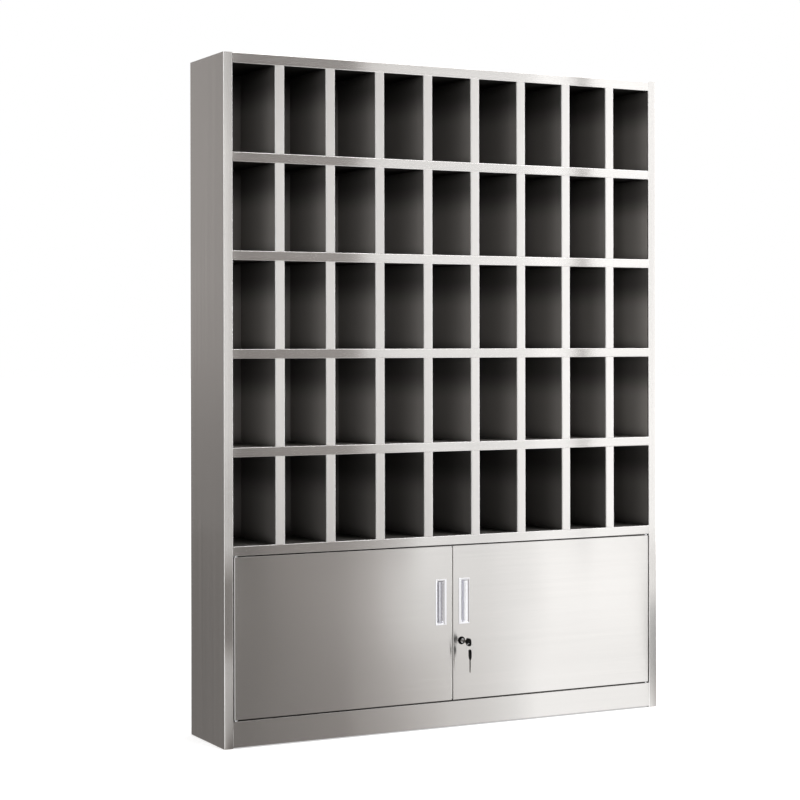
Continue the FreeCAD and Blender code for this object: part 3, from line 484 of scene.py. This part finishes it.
def dress_nodes():
    """Gives every CAD node its finish from the record's slots and its own grain direction."""
    for part in frame["record"]["subparts"]:
        name, slot_name = part["node"], part["material_slot"]
        # The lock's rim and barrel: chrome with a painted dark reflection
        if name == "lock_housing":
            material = CHROME_PAINTED_DARK
        elif slot_name != "stainless_sheet":
            material = SLOT_MATERIAL[slot_name]
        elif name in DOOR_NODES:
            material = DOOR_SHEET
        elif name.startswith(("divider_row", "side_liner")):
            material = DIVIDER_SHEET
        elif name.startswith(UPRIGHT):
            material = SHEET_UPRIGHT
        else:
            material = SHEET_ACROSS
        mesh = frame["nodes"][name].data
        mesh.materials.clear()
        mesh.materials.append(material)


dress_nodes()

# Pieces of the handles, the lock, the keys and the doors' gap


def closed_mesh(name, points, faces, material, body):
    """A piece from arrays of points and faces, smooth, riding on a body."""
    mesh = bpy.data.meshes.new(name)
    mesh.from_pydata(points.tolist(), [], faces)
    mesh.materials.append(material)
    mesh.shade_smooth()
    piece = bpy.data.objects.new(name, mesh)
    bpy.context.scene.collection.objects.link(piece)
    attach(piece, body)
    return piece


def grid_faces(rows, columns):
    """The quads of a grid of rows by columns points."""
    first = np.arange(rows - 1)[:, None] * columns + np.arange(columns - 1)[None, :]
    return np.stack([first, first + 1, first + columns + 1, first + columns], axis=-1).reshape(-1, 4)


def looped_faces(rows, columns):
    """The quads of a grid that closes on itself both ways."""
    row = np.arange(rows)[:, None]
    column = np.arange(columns)[None, :]
    next_row = (row + 1) % rows
    next_column = (column + 1) % columns
    corners = [row * columns + column, row * columns + next_column]
    corners += [next_row * columns + next_column, next_row * columns + column]
    return np.stack(np.broadcast_arrays(*corners), axis=-1).reshape(-1, 4)


def tube_faces(rows, columns):
    """The quads of a tube of rows round sections of columns points, and its two end faces."""
    last = (rows - 1) * columns
    sides = looped_faces(rows, columns)[:last].tolist()
    return sides + [list(range(columns - 1, -1, -1)), list(range(last, last + columns))]


ARC_POINTS = 12


def rounded_outline(corners, radii, steps):
    """Evenly spaced points on a closed outline whose corners are arcs tangent to both sides."""
    corners = np.array(corners)
    points = []
    for index, corner in enumerate(corners):
        before = corners[index - 1] - corner
        after = corners[(index + 1) % len(corners)] - corner
        before /= np.linalg.norm(before)
        after /= np.linalg.norm(after)
        half = 0.5 * math.acos(float(np.clip(before @ after, -1.0, 1.0)))
        reach = radii[index] / math.tan(half)
        middle = corner + (before + after) / np.linalg.norm(before + after) * radii[index] / math.sin(half)
        start = corner + before * reach - middle
        end = corner + after * reach - middle
        share = np.linspace(0.0, 1.0, ARC_POINTS)[:, None]
        arc = start * (1 - share) + end * share
        length = np.linalg.norm(arc, axis=1, keepdims=True)
        points.append(middle + arc / np.maximum(length, 1e-9) * radii[index])
    line = np.concatenate(points + [points[0][:1]])
    along = np.concatenate([[0.0], np.cumsum(np.linalg.norm(np.diff(line, axis=0), axis=1))])
    place = np.linspace(0.0, along[-1], steps, endpoint=False)
    return np.stack([np.interp(place, along, line[:, axis]) for axis in range(2)], axis=1)


KEY_HOLE = np.array([0.028, -0.165, 0.235])
SPARE_HOLE = np.array([0.028, -0.165, 0.2114])
SPARE_TWIST = math.radians(-15.0)
KEY_HOLE_RADIUS = 0.0025
HEAD_ENDS = (-0.0045, 0.0185, 0.0225)
HEAD_HALF = 0.0105
NECK_HALF = 0.0055
HEAD_RADII = [0.008, 0.008, 0.004, 0.0004, 0.0008, 0.0008, 0.0004, 0.004]
HEAD_STEPS = 144
HEAD_SECTION = [
    (0.000, 0.0006), (0.000, 0.0013), (0.012, 0.00175), (0.040, 0.0020), (0.130, 0.0020),
    (0.170, 0.0019), (0.200, 0.00155), (0.230, 0.00145), (0.600, 0.00145), (0.660, 0.00155),
    (0.700, 0.0019), (0.740, 0.0020), (0.930, 0.0020), (0.975, 0.0018), (1.000, 0.0013),
    (1.000, 0.0005),
]


def key_head(name, turn, place, body, node):
    """Moulded key head with a rim, a sunk grip panel and a boss round its ring hole.

    A point goes from the outline (0) to the hole's circle (1) in straight lines, and its thickness
    follows HEAD_SECTION on one face and back on the other, so the surface closes through the hole.
    """
    end, shoulder, neck_end = HEAD_ENDS
    corners = [
        (end, -HEAD_HALF), (end, HEAD_HALF), (shoulder, HEAD_HALF), (shoulder, NECK_HALF),
        (neck_end, NECK_HALF), (neck_end, -NECK_HALF), (shoulder, -NECK_HALF), (shoulder, -HEAD_HALF),
    ]
    outline = rounded_outline(corners, HEAD_RADII, HEAD_STEPS)
    angle = np.arctan2(outline[:, 1], outline[:, 0])
    hole = KEY_HOLE_RADIUS * np.stack([np.cos(angle), np.sin(angle)], axis=1)
    section = np.array(HEAD_SECTION)
    section = np.concatenate([section, section[::-1] * [1.0, -1.0]])
    share = section[:, 0][:, None, None]
    flat = outline[None] * (1 - share) + hole[None] * share
    thick = np.broadcast_to(section[:, 1][:, None], flat.shape[:2])
    points = np.stack([thick, flat[..., 0], flat[..., 1]], axis=-1).reshape(-1, 3)
    points = points @ np.array(turn).T + place
    faces = looped_faces(len(section), len(outline))[:, ::-1].tolist()
    piece = closed_mesh(name, points, faces, BLACK, body)
    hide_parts(node)


def key_heads():
    """The head of the key in the lock, and of the spare key that hangs blade down, a little twisted."""
    key_head("key_head", np.eye(3), KEY_HOLE, "key", "key_bow")
    down = np.array([[1.0, 0.0, 0.0], [0.0, 0.0, 1.0], [0.0, -1.0, 0.0]])
    cosine = math.cos(SPARE_TWIST)
    sine = math.sin(SPARE_TWIST)
    twist = np.array([[cosine, -sine, 0.0], [sine, cosine, 0.0], [0.0, 0.0, 1.0]])
    key_head("spare_key_head", twist @ down, SPARE_HOLE, "spare_key", "spare_key_bow")


RING_MIDDLE = np.array([0.028, -0.165, 0.2232])
RING_RADIUS = 0.0105
RING_WIRE = 0.00034
RING_STEP = 0.00036
RING_CROSSING = 0.35
RING_POINTS = 241
WIRE_SIDES = 12
ROUNDED_POINTS = 3.0


def split_ring():
    """Split ring of two turns of wire side by side.

    The wire's middle is a circle, its offset along Y goes from -RING_STEP to +RING_STEP in a smooth
    step where one turn crosses to the next, and both ends are rounded off.
    """
    turn = np.linspace(RING_CROSSING, 4 * math.pi - RING_CROSSING, RING_POINTS)
    rise = np.clip((turn - 2 * math.pi + RING_CROSSING) / (2 * RING_CROSSING), 0.0, 1.0)
    offset = RING_STEP * (2 * rise * rise * (3 - 2 * rise) - 1)
    order = np.arange(RING_POINTS)
    from_end = np.minimum(order, order[::-1]) / ROUNDED_POINTS
    thick = RING_WIRE * np.sqrt(1 - np.clip(1 - from_end, 0.0, 0.98) ** 2)
    round_wire = np.linspace(0.0, 2 * math.pi, WIRE_SIDES, endpoint=False)[None, :]
    radius = RING_RADIUS + thick[:, None] * np.cos(round_wire)
    angle = (turn + math.pi / 2)[:, None]
    points = np.stack([
        radius * np.cos(angle),
        offset[:, None] + thick[:, None] * np.sin(round_wire),
        radius * np.sin(angle),
    ], axis=-1)
    points = points.reshape(-1, 3) + RING_MIDDLE
    piece = closed_mesh("split_key_ring", points, tube_faces(RING_POINTS, WIRE_SIDES), CHROME, "key_ring")
    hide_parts("key_ring")


LOCK_AXIS = (0.028, 0.235)
SHADOW_RING_STEPS = 64
SHADOW_RING_SECTION = [
    (0.0096, -0.00005), (0.0096, -0.0008), (0.0100, -0.0010),
    (0.0105, -0.0010), (0.0108, -0.0007), (0.0109, -0.00005),
]


def lock_shadow_ring():
    """Thin black ring between the lock's rim and the door, a dark piece that stands in for the shadow
    round the rim: its section turned round the lock's axis.
    """
    section = np.array(SHADOW_RING_SECTION)
    angle = np.linspace(0.0, 2 * math.pi, SHADOW_RING_STEPS, endpoint=False)[None, :]
    radius = section[:, :1]
    depth = np.broadcast_to(FRONT + section[:, 1:], (len(section), SHADOW_RING_STEPS))
    grid = [LOCK_AXIS[0] + radius * np.cos(angle), depth, LOCK_AXIS[1] + radius * np.sin(angle)]
    points = np.stack(grid, axis=-1).reshape(-1, 3)
    faces = looped_faces(len(section), SHADOW_RING_STEPS)[:, ::-1].tolist()
    piece = closed_mesh("lock_shadow_ring", points, faces, BLACK, "right_door")


# The handles' main sizes are in metres, and from HANDLE_RIM on they are in millimetres
HANDLE_MIDDLE = 0.343
HANDLE_HALF = 0.0625
HANDLE_WIDTH = 0.034
HANDLE_FROM_MIDDLE = 0.019
HANDLE_FACE = FRONT - 0.0012
HANDLE_WALL = 0.0011
HANDLE_RIM = ([0.0, 0.15, 0.5, 0.9, 5.0], [0.35, 0.12, 0.0, 0.02, 0.80])
HANDLE_GRIP_FLAT = ([0.0, 0.9, 7.0, 8.6, 34.0], [0.0, 0.9, 0.9, 5.0, 34.0])
HANDLE_SKIRT = 1.15
HANDLE_BORDER = [0.0, 0.15, 0.5, 0.9, 1.8, 2.8, 3.9, 5.0]
HANDLE_CUP = [
    (6.2, 0.02), (7.2, 0.10), (8.2, 0.45), (8.8, 1.10), (9.0, 1.90), (8.8, 2.60), (8.2, 2.90),
    (5.2, 2.90), (4.4, 3.20), (4.0, 4.00), (4.0, 11.6), (4.5, 13.5), (5.8, 14.8), (7.6, 15.2),
    (10.0, 15.2), (12.0, 15.1), (14.4, 14.5), (16.8, 13.1), (20.0, 9.9), (23.2, 6.6), (26.6, 3.2),
    (27.6, 2.0), (28.3, 1.2),
]
HANDLE_NOSE = 4
CUP_SPREAD = (9.0, 28.3)
CUP_END = (4.8, 9.2)
CUP_END_STEPS = 16
CUP_END_BEND = 2.2
BEFORE_CUP = 4.6
PAST_CUP_END = [20.0, 40.0]


def door_handle(side, body, node):
    """Recessed pull with a dished border, from one profile carried up its height.

    A point is at u across the handle, from the door's free edge, and at a distance e from the nearer
    end. Its depth is the rim's depth at the least of g(u), width - u and e, plus the profile's depth
    below the rim times a share that eases from 0 to 1 over CUP_END. g(u) is u, held at 0.9 mm over
    the flat of the grip. Below the grip's nose the points go with the same share from an even
    spread to their place on the profile. Points that meet at the corners are merged, and the sheet
    then gets its wall.
    """
    width = HANDLE_WIDTH * 1000.0
    border = np.array(HANDLE_BORDER)
    cup = np.array(HANDLE_CUP)
    u = np.concatenate([[0.0], border, cup[:, 0], (width - border)[::-1], [width]])
    rim = np.interp(np.minimum(np.interp(cup[:, 0], *HANDLE_GRIP_FLAT), width - cup[:, 0]), *HANDLE_RIM)
    flat = np.zeros(1 + len(border))
    below = np.concatenate([flat, np.maximum(cup[:, 1] - rim, 0.0), flat])
    spread = u.copy()
    first = len(flat) + HANDLE_NOSE
    last = len(flat) + len(cup)
    spread[first:last] = np.linspace(*CUP_SPREAD, last - first)
    half = HANDLE_HALF * 1000.0
    ease = np.linspace(*CUP_END, CUP_END_STEPS)
    from_end = np.concatenate([[0.0], border[:-1], [BEFORE_CUP], ease, PAST_CUP_END])
    height = np.concatenate([from_end - half, (half - from_end)[::-1]])
    distance = (half - np.abs(height))[:, None]
    share = np.clip((distance - CUP_END[0]) / (CUP_END[1] - CUP_END[0]), 0.0, 1.0)
    share = 1.0 - (1.0 - share) ** CUP_END_BEND
    across = u[None, :] * share + spread[None, :] * (1.0 - share)
    from_grip = np.interp(across, *HANDLE_GRIP_FLAT)
    nearest = np.minimum(np.minimum(from_grip, width - across), distance)
    depth = np.interp(nearest, *HANDLE_RIM) + below[None, :] * share
    depth[[0, -1], :] = HANDLE_SKIRT
    depth[:, [0, -1]] = HANDLE_SKIRT
    x = side * (HANDLE_FROM_MIDDLE + across * 0.001)
    y = HANDLE_FACE + depth * 0.001
    z = np.broadcast_to(HANDLE_MIDDLE + height[:, None] * 0.001, x.shape)
    points = np.stack([x, y, z], axis=-1).reshape(-1, 3)
    faces = grid_faces(len(height), len(u))
    faces = faces if side > 0 else faces[:, ::-1]
    piece = closed_mesh(node + "_pull", points, faces.tolist(), SATIN_PLATE, body)
    welded = bmesh.new()
    welded.from_mesh(piece.data)
    bmesh.ops.remove_doubles(welded, verts=welded.verts, dist=1e-6)
    welded.to_mesh(piece.data)
    welded.free()
    wall = piece.modifiers.new("wall", "SOLIDIFY")
    wall.thickness = HANDLE_WALL
    wall.offset = -1.0
    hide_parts(node)


STRIP_SECTION = [
    (-1.95, 5.4), (-1.95, 3.8), (-1.6, 3.45), (-0.9, 3.3), (0.3, 3.3), (1.0, 3.5), (1.3, 4.0),
    (1.3, 5.0), (1.0, 5.4),
]
STRIP_FROM_END = 0.003
STRIP_ROWS = 12


def meeting_strip():
    """Dust strip on the left door's free edge: one closed section carried up between the door's ends."""
    low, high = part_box("left_door_pan")
    section = np.array(STRIP_SECTION) * 0.001
    height = np.linspace(low[2] + STRIP_FROM_END, high[2] - STRIP_FROM_END, STRIP_ROWS)[:, None]
    grid = np.broadcast_arrays(section[:, 0], FRONT + section[:, 1], height)
    points = np.stack(grid, axis=-1).reshape(-1, 3)
    faces = tube_faces(STRIP_ROWS, len(section))
    piece = closed_mesh("meeting_edge_strip", points, faces, NYLON, "left_door")


key_heads()
split_ring()
meeting_strip()
# A black ring that stands in for the shadow round the lock's rim
lock_shadow_ring()
door_handle(-1.0, "left_door", "left_handle")
door_handle(1.0, "right_door", "right_handle")


# Studio


def stage_mesh(name, points, faces, material, glow=None):
    """A stage surface from arrays of points and faces, with a brightness on each point."""
    mesh = bpy.data.meshes.new(name)
    mesh.from_pydata(points.tolist(), [], faces.tolist())
    if glow is not None:
        layer = mesh.attributes.new("glow", "FLOAT", "POINT")
        layer.data.foreach_set("value", glow.astype(np.float32))
    mesh.materials.append(material)
    thing = bpy.data.objects.new(name, mesh)
    bpy.context.scene.collection.objects.link(thing)
    return thing


def new_shading(block):
    """The emptied node tree of a new material or world."""
    block.use_nodes = True
    block.node_tree.nodes.clear()
    return block.node_tree


def shown_to_eye(tree):
    """1 for what the camera, metal and glass see, and 0 for light that falls on the object."""
    path = add(tree, "ShaderNodeLightPath")
    seen = maths(tree, "MAXIMUM", path.outputs["Is Camera Ray"], path.outputs["Is Glossy Ray"])
    return maths(tree, "MAXIMUM", seen, path.outputs["Is Transmission Ray"])


CARD_WARM = (1.0, 0.945, 0.912, 1.0)
CARD_WHITE = (1.0, 1.0, 1.0, 1.0)
CARD_WHITENS = (0.35, 1.1)


def card_material():
    """A lit card whose brightness is written on its points. Its darker parts are a little warmer."""
    material = bpy.data.materials.new("studio_card")
    tree = new_shading(material)
    glow = add(tree, "ShaderNodeEmission")
    layer = add(tree, "ShaderNodeAttribute", attribute_name="glow")
    tree.links.new(layer.outputs["Fac"], glow.inputs["Strength"])
    whiteness = remap(tree, layer.outputs["Fac"], *CARD_WHITENS, 0.0, 1.0)
    feed(tree, glow.inputs["Color"], blended(tree, whiteness, CARD_WARM, CARD_WHITE))
    out = add(tree, "ShaderNodeOutputMaterial")
    tree.links.new(glow.outputs[0], out.inputs["Surface"])
    material.cycles.emission_sampling = "NONE"
    return material


def hidden_card(thing):
    """Leaves a card to reflections only."""
    thing.visible_camera = False
    thing.visible_diffuse = False
    thing.visible_shadow = False
    thing.visible_transmission = False
    thing.visible_volume_scatter = False


CARD = card_material()
CARD_OUT = 1.0
CARD_CLEAR = 0.0005
CARD_LIFT = 0.0012
FAN_X = -2.611
FAN_Y = 4.646


def fan_position(x, depth):
    """Where the line from the fan's centre through x on the front meets the depth in front of it."""
    reach = FAN_Y - FRONT
    return FAN_X + (x - FAN_X) * (reach + depth) / reach


def card_surface(name, x, y, z, glow):
    """A card from grids of places and brightness, all of the same shape."""
    points = np.stack(np.broadcast_arrays(x, y, z), axis=-1)
    value = np.broadcast_to(glow, points.shape[:2])
    faces = grid_faces(points.shape[0], points.shape[1])
    hidden_card(stage_mesh(name, points.reshape(-1, 3), faces, CARD, value.ravel()))


# Places across the front and the front card's level at each, for four bands of height
ACROSS = [-1.25, -0.98, -0.86, -0.69, -0.655]
UPPER_AT = ACROSS + [
    -0.62, -0.55, -0.45, -0.36, -0.31, -0.285, -0.255, -0.20, 0.0, 0.19, 0.265, 0.29, 0.37, 0.398,
    0.412, 0.436, 0.450, 0.66, 0.69, 0.80, 1.3,
]
UPPER_GLOW = [
    0.40, 0.40, 1.80, 1.80, 0.38,
    0.33, 0.38, 0.41, 0.42, 0.40, 0.46, 1.00, 1.10, 1.17, 1.20, 1.28, 1.46, 1.44, 1.28,
    0.42, 0.42, 1.45, 1.47, 1.42, 1.42, 1.42,
]
DECK_AT = ACROSS + [
    -0.60, -0.53, -0.33, -0.29, -0.22, -0.147, -0.11, -0.075, -0.03, 0.11, 0.15, 0.23, 0.27, 0.39,
    0.405, 0.415, 0.434, 0.448, 0.66, 0.69, 1.3,
]
DECK_GLOW = [
    0.40, 0.40, 1.40, 1.35, 0.18,
    0.20, 0.33, 0.40, 0.45, 0.48, 0.63, 1.00, 1.22, 1.15, 1.10, 1.22, 1.23, 1.36, 1.40,
    1.38, 1.10, 1.10, 1.46, 1.50, 1.22, 1.22,
]
DOOR_AT = ACROSS + [-0.57, -0.43, -0.33, -0.25, -0.18, -0.11, 0.11, 0.27, 0.31, 0.66, 0.69, 1.3]
DOOR_GLOW = [
    0.28, 0.28, 0.28, 0.28, 0.30,
    0.27, 0.38, 0.465, 0.64, 0.96, 1.09, 1.06, 1.22, 1.44, 1.50, 0.70, 0.70,
]
FLOOR_AT = ACROSS + [-0.53, -0.33, -0.28, -0.18, -0.07, 0.0, 0.10, 0.19, 0.27, 0.66, 0.69, 1.3]
FLOOR_GLOW = [
    1.05, 1.05, 1.05, 1.05, 0.22,
    0.28, 0.35, 0.43, 0.52, 0.69, 0.83, 0.92, 1.06, 1.29, 1.26, 1.00, 1.00,
]
FLOOR_TO_DOOR = [0.05, 0.13]
DOOR_TO_DECK = [0.30, 0.42]
DECK_TO_UPPER = [0.56, 0.78]
CARD_STEPS = 512
FLOOR_DEPTHS = [CARD_CLEAR, 0.3, 0.6]
CARD_HEIGHTS = [
    CARD_LIFT, 0.01, 0.03, 0.05, 0.10, 0.13, 0.16, 0.20, 0.30, 0.42, 0.56, 0.78, 0.95, 1.2, 1.6, 1.9, 2.6,
]
LEFT_DIM_ACROSS = ([-0.75, -0.3, 0.24, 0.30], [1.0, 0.75, 0.55, 0.0])
LEFT_DIM_HEIGHT = ([0.78, 1.0, 1.3, 1.6, 1.9, 2.6], [0.06, 0.0, -0.04, 0.03, 0.22, 0.34])
PATCH_ACROSS = ([0.645, 0.660], [0.0, 1.0])
PATCH_HEIGHT = ([0.11, 0.19], [1.0, 0.0])
PATCH_FLOOR = [0.25, 0.70, 1.0]


def front_card():
    """A folded reflector in front: it lies on the floor from the front out to 1 m and then stands up.

    Its brightness depends on the place s across the front and on the height: floor(s), door(s),
    deck(s) and upper(s), one above the other, with a straight change between each two. Towards the
    left end the upper part is brightest at eye level. A dark patch stands low at the right end.
    """
    on_floor = len(FLOOR_DEPTHS)
    across = np.linspace(ACROSS[0], UPPER_AT[-1], CARD_STEPS)
    height = np.array([CARD_LIFT] * on_floor + CARD_HEIGHTS)[:, None]
    depth = np.full_like(height, CARD_OUT)
    depth[:on_floor, 0] = FLOOR_DEPTHS
    at_left = np.interp(across, *LEFT_DIM_ACROSS)[None, :]
    glow = np.interp(across, UPPER_AT, UPPER_GLOW) * (1.0 - at_left * np.interp(height, *LEFT_DIM_HEIGHT))
    for span, places, levels in (
        (DECK_TO_UPPER, DECK_AT, DECK_GLOW),
        (DOOR_TO_DECK, DOOR_AT, DOOR_GLOW),
        (FLOOR_TO_DOOR, FLOOR_AT, FLOOR_GLOW),
    ):
        share = np.interp(height, span, [0.0, 1.0])
        glow = glow * share + np.interp(across, places, levels) * (1.0 - share)
    patch = np.interp(height, *PATCH_HEIGHT)
    patch[:on_floor, 0] = PATCH_FLOOR
    glow = glow * (1.0 - patch * np.interp(across, *PATCH_ACROSS))
    card_surface("front_reflector", fan_position(across[None, :], depth), FRONT - depth, height, glow)


SIDE_LEVELS = ([0.0, 0.4, 0.7, 1.0, 1.3, 3.4], [0.218, 0.240, 0.282, 0.363, 0.406, 0.392])
SIDE_DEPTHS = [CARD_CLEAR, 0.5, 1.0, 1.0, 1.0, 1.0, 1.0, 1.0]
SIDE_HEIGHTS = [CARD_LIFT, CARD_LIFT, CARD_LIFT, 0.4, 0.7, 1.0, 1.3, 3.4]
SIDE_REACH = 6.0
SIDE_STEPS = 8
RIGHT_BRIGHTER = 1.6


def side_cards():
    """Grey reflectors on the left and on the right, from the front backwards, that the side panels see."""
    along = np.linspace(FRONT, SIDE_REACH, SIDE_STEPS)[None, :]
    depth = np.array(SIDE_DEPTHS)[:, None]
    height = np.array(SIDE_HEIGHTS)[:, None]
    glow = np.interp(height, *SIDE_LEVELS)
    card_surface("left_reflector", -SKIN - depth, along, height, glow)
    card_surface("right_reflector", SKIN + depth, along, height, RIGHT_BRIGHTER * glow)


STRIP_OUT = 1.9
STRIP_GLOW = 4.2
LEFT_STRIP_Y = [-1.15, -1.06, -1.02, -0.78, -0.74, -0.45]
LEFT_STRIP_HEIGHTS = [0.002, 0.3, 0.9, 2.4]
LEFT_STRIP_LEVELS = [0.20, 0.30, 1.20, 1.90]
LEFT_PATCH_ALONG = [0.0, 0.0, 1.3, 1.3, 0.0, 0.0]
LEFT_PATCH_UP = [1.0, 1.0, 0.0, 0.0]
RIGHT_STRIP_Y = [-0.9, -0.3]
RIGHT_STRIP_HEIGHTS = [0.3, 2.4]
OVERHEAD_X = [-1.4, 2.6]
OVERHEAD_Y = [-1.6, -0.7]
OVERHEAD_HEIGHTS = [2.75, 3.1]


def strip_lights():
    """Strips at the left, at the right and overhead, that draw the light lines on folds and handles.

    The left one is dim low down, with a bright patch there in the middle of its depth, which the
    right handle's cup sees.
    """
    y = np.array(LEFT_STRIP_Y)[None, :]
    height = np.array(LEFT_STRIP_HEIGHTS)[:, None]
    patch = np.array(LEFT_PATCH_ALONG)[None, :] * np.array(LEFT_PATCH_UP)[:, None]
    level = np.array(LEFT_STRIP_LEVELS)[:, None] + patch
    card_surface("left_strip", np.full_like(y, -STRIP_OUT), y, height, level)
    y = np.array(RIGHT_STRIP_Y)[None, :]
    height = np.array(RIGHT_STRIP_HEIGHTS)[:, None]
    card_surface("right_strip", np.full_like(y, STRIP_OUT), y, height, STRIP_GLOW)
    x = np.array(OVERHEAD_X)[None, :]
    y = np.array(OVERHEAD_Y)[:, None]
    height = np.array(OVERHEAD_HEIGHTS)[:, None]
    card_surface("overhead_strip", x, y, height, STRIP_GLOW)


front_card()
side_cards()
strip_lights()


FLOOR_RADIUS = 60.0
FLOOR_UNDER = 0.0005
FLOOR_STEPS = 96
FLOOR_SHINE = 0.55
FLOOR_GREY = (0.86, 0.86, 0.86, 1.0)
WORLD_FILL = 0.62


def studio_floor():
    """A round pale floor. It shines a little towards the camera, so that it reads as white."""
    material = bpy.data.materials.new("studio_floor")
    tree = new_shading(material)
    matte = add(tree, "ShaderNodeBsdfDiffuse")
    matte.inputs["Color"].default_value = FLOOR_GREY
    glow = add(tree, "ShaderNodeEmission")
    tree.links.new(maths(tree, "MULTIPLY", shown_to_eye(tree), FLOOR_SHINE), glow.inputs["Strength"])
    both = add(tree, "ShaderNodeAddShader")
    tree.links.new(matte.outputs[0], both.inputs[0])
    tree.links.new(glow.outputs[0], both.inputs[1])
    out = add(tree, "ShaderNodeOutputMaterial")
    tree.links.new(both.outputs[0], out.inputs["Surface"])
    turn = np.linspace(0.0, 2.0 * math.pi, FLOOR_STEPS, endpoint=False)
    rim = [FLOOR_RADIUS * np.cos(turn), FLOOR_RADIUS * np.sin(turn), np.full_like(turn, -FLOOR_UNDER)]
    stage_mesh("studio_floor", np.stack(rim, axis=-1), np.arange(FLOOR_STEPS)[None, :], material)


def studio_world():
    """White for what the camera and the metal see, and a soft grey fill for the rest."""
    world = bpy.data.worlds.new("studio_world")
    bpy.context.scene.world = world
    tree = new_shading(world)
    back = add(tree, "ShaderNodeBackground")
    back.inputs["Color"].default_value = (1.0, 1.0, 1.0, 1.0)
    strength = remap(tree, shown_to_eye(tree), 0.0, 1.0, WORLD_FILL, 1.0)
    tree.links.new(strength, back.inputs["Strength"])
    out = add(tree, "ShaderNodeOutputWorld")
    tree.links.new(back.outputs[0], out.inputs["Surface"])


def soft_lamp(name, place, target, size, power):
    """A square soft lamp that points at a place and stays out of the metal's reflections."""
    lamp = bpy.data.lights.new(name, "AREA")
    lamp.size = size
    lamp.energy = power
    thing = bpy.data.objects.new(name, lamp)
    bpy.context.scene.collection.objects.link(thing)
    thing.location = place
    thing.rotation_euler = (Vector(target) - Vector(place)).to_track_quat("-Z", "Y").to_euler()
    thing.visible_glossy = False
    thing.visible_camera = False


studio_floor()
studio_world()
soft_lamp("overhead_softbox", place=(1.2, -2.2, 4.2), target=(0.0, 0.0, 0.9), size=3.0, power=120.0)

CAMERA_PLACE = (-2.6111, -4.8813, 1.0405)
CAMERA_HEADING = -0.47524
CAMERA_ROLL = -0.00177
CAMERA_LENS = 89.565
CAMERA_SENSOR = 36.0
CAMERA_SHIFT = -0.0676
CAMERA_RANGE = (0.1, 200.0)


def make_camera():
    """The camera at the photograph's viewing angle."""
    data = bpy.data.cameras.new("photo_camera")
    data.lens = CAMERA_LENS
    data.sensor_width = CAMERA_SENSOR
    data.shift_y = CAMERA_SHIFT
    data.clip_start, data.clip_end = CAMERA_RANGE
    camera = bpy.data.objects.new("photo_camera", data)
    bpy.context.scene.collection.objects.link(camera)
    level = Matrix.Rotation(CAMERA_HEADING, 4, "Z") @ Matrix.Rotation(math.pi / 2, 4, "X")
    turn = level @ Matrix.Rotation(CAMERA_ROLL, 4, "Z")
    camera.matrix_world = Matrix.Translation(CAMERA_PLACE) @ turn
    bpy.context.scene.camera = camera


make_camera()
bpy.context.scene.view_settings.view_transform = "Standard"
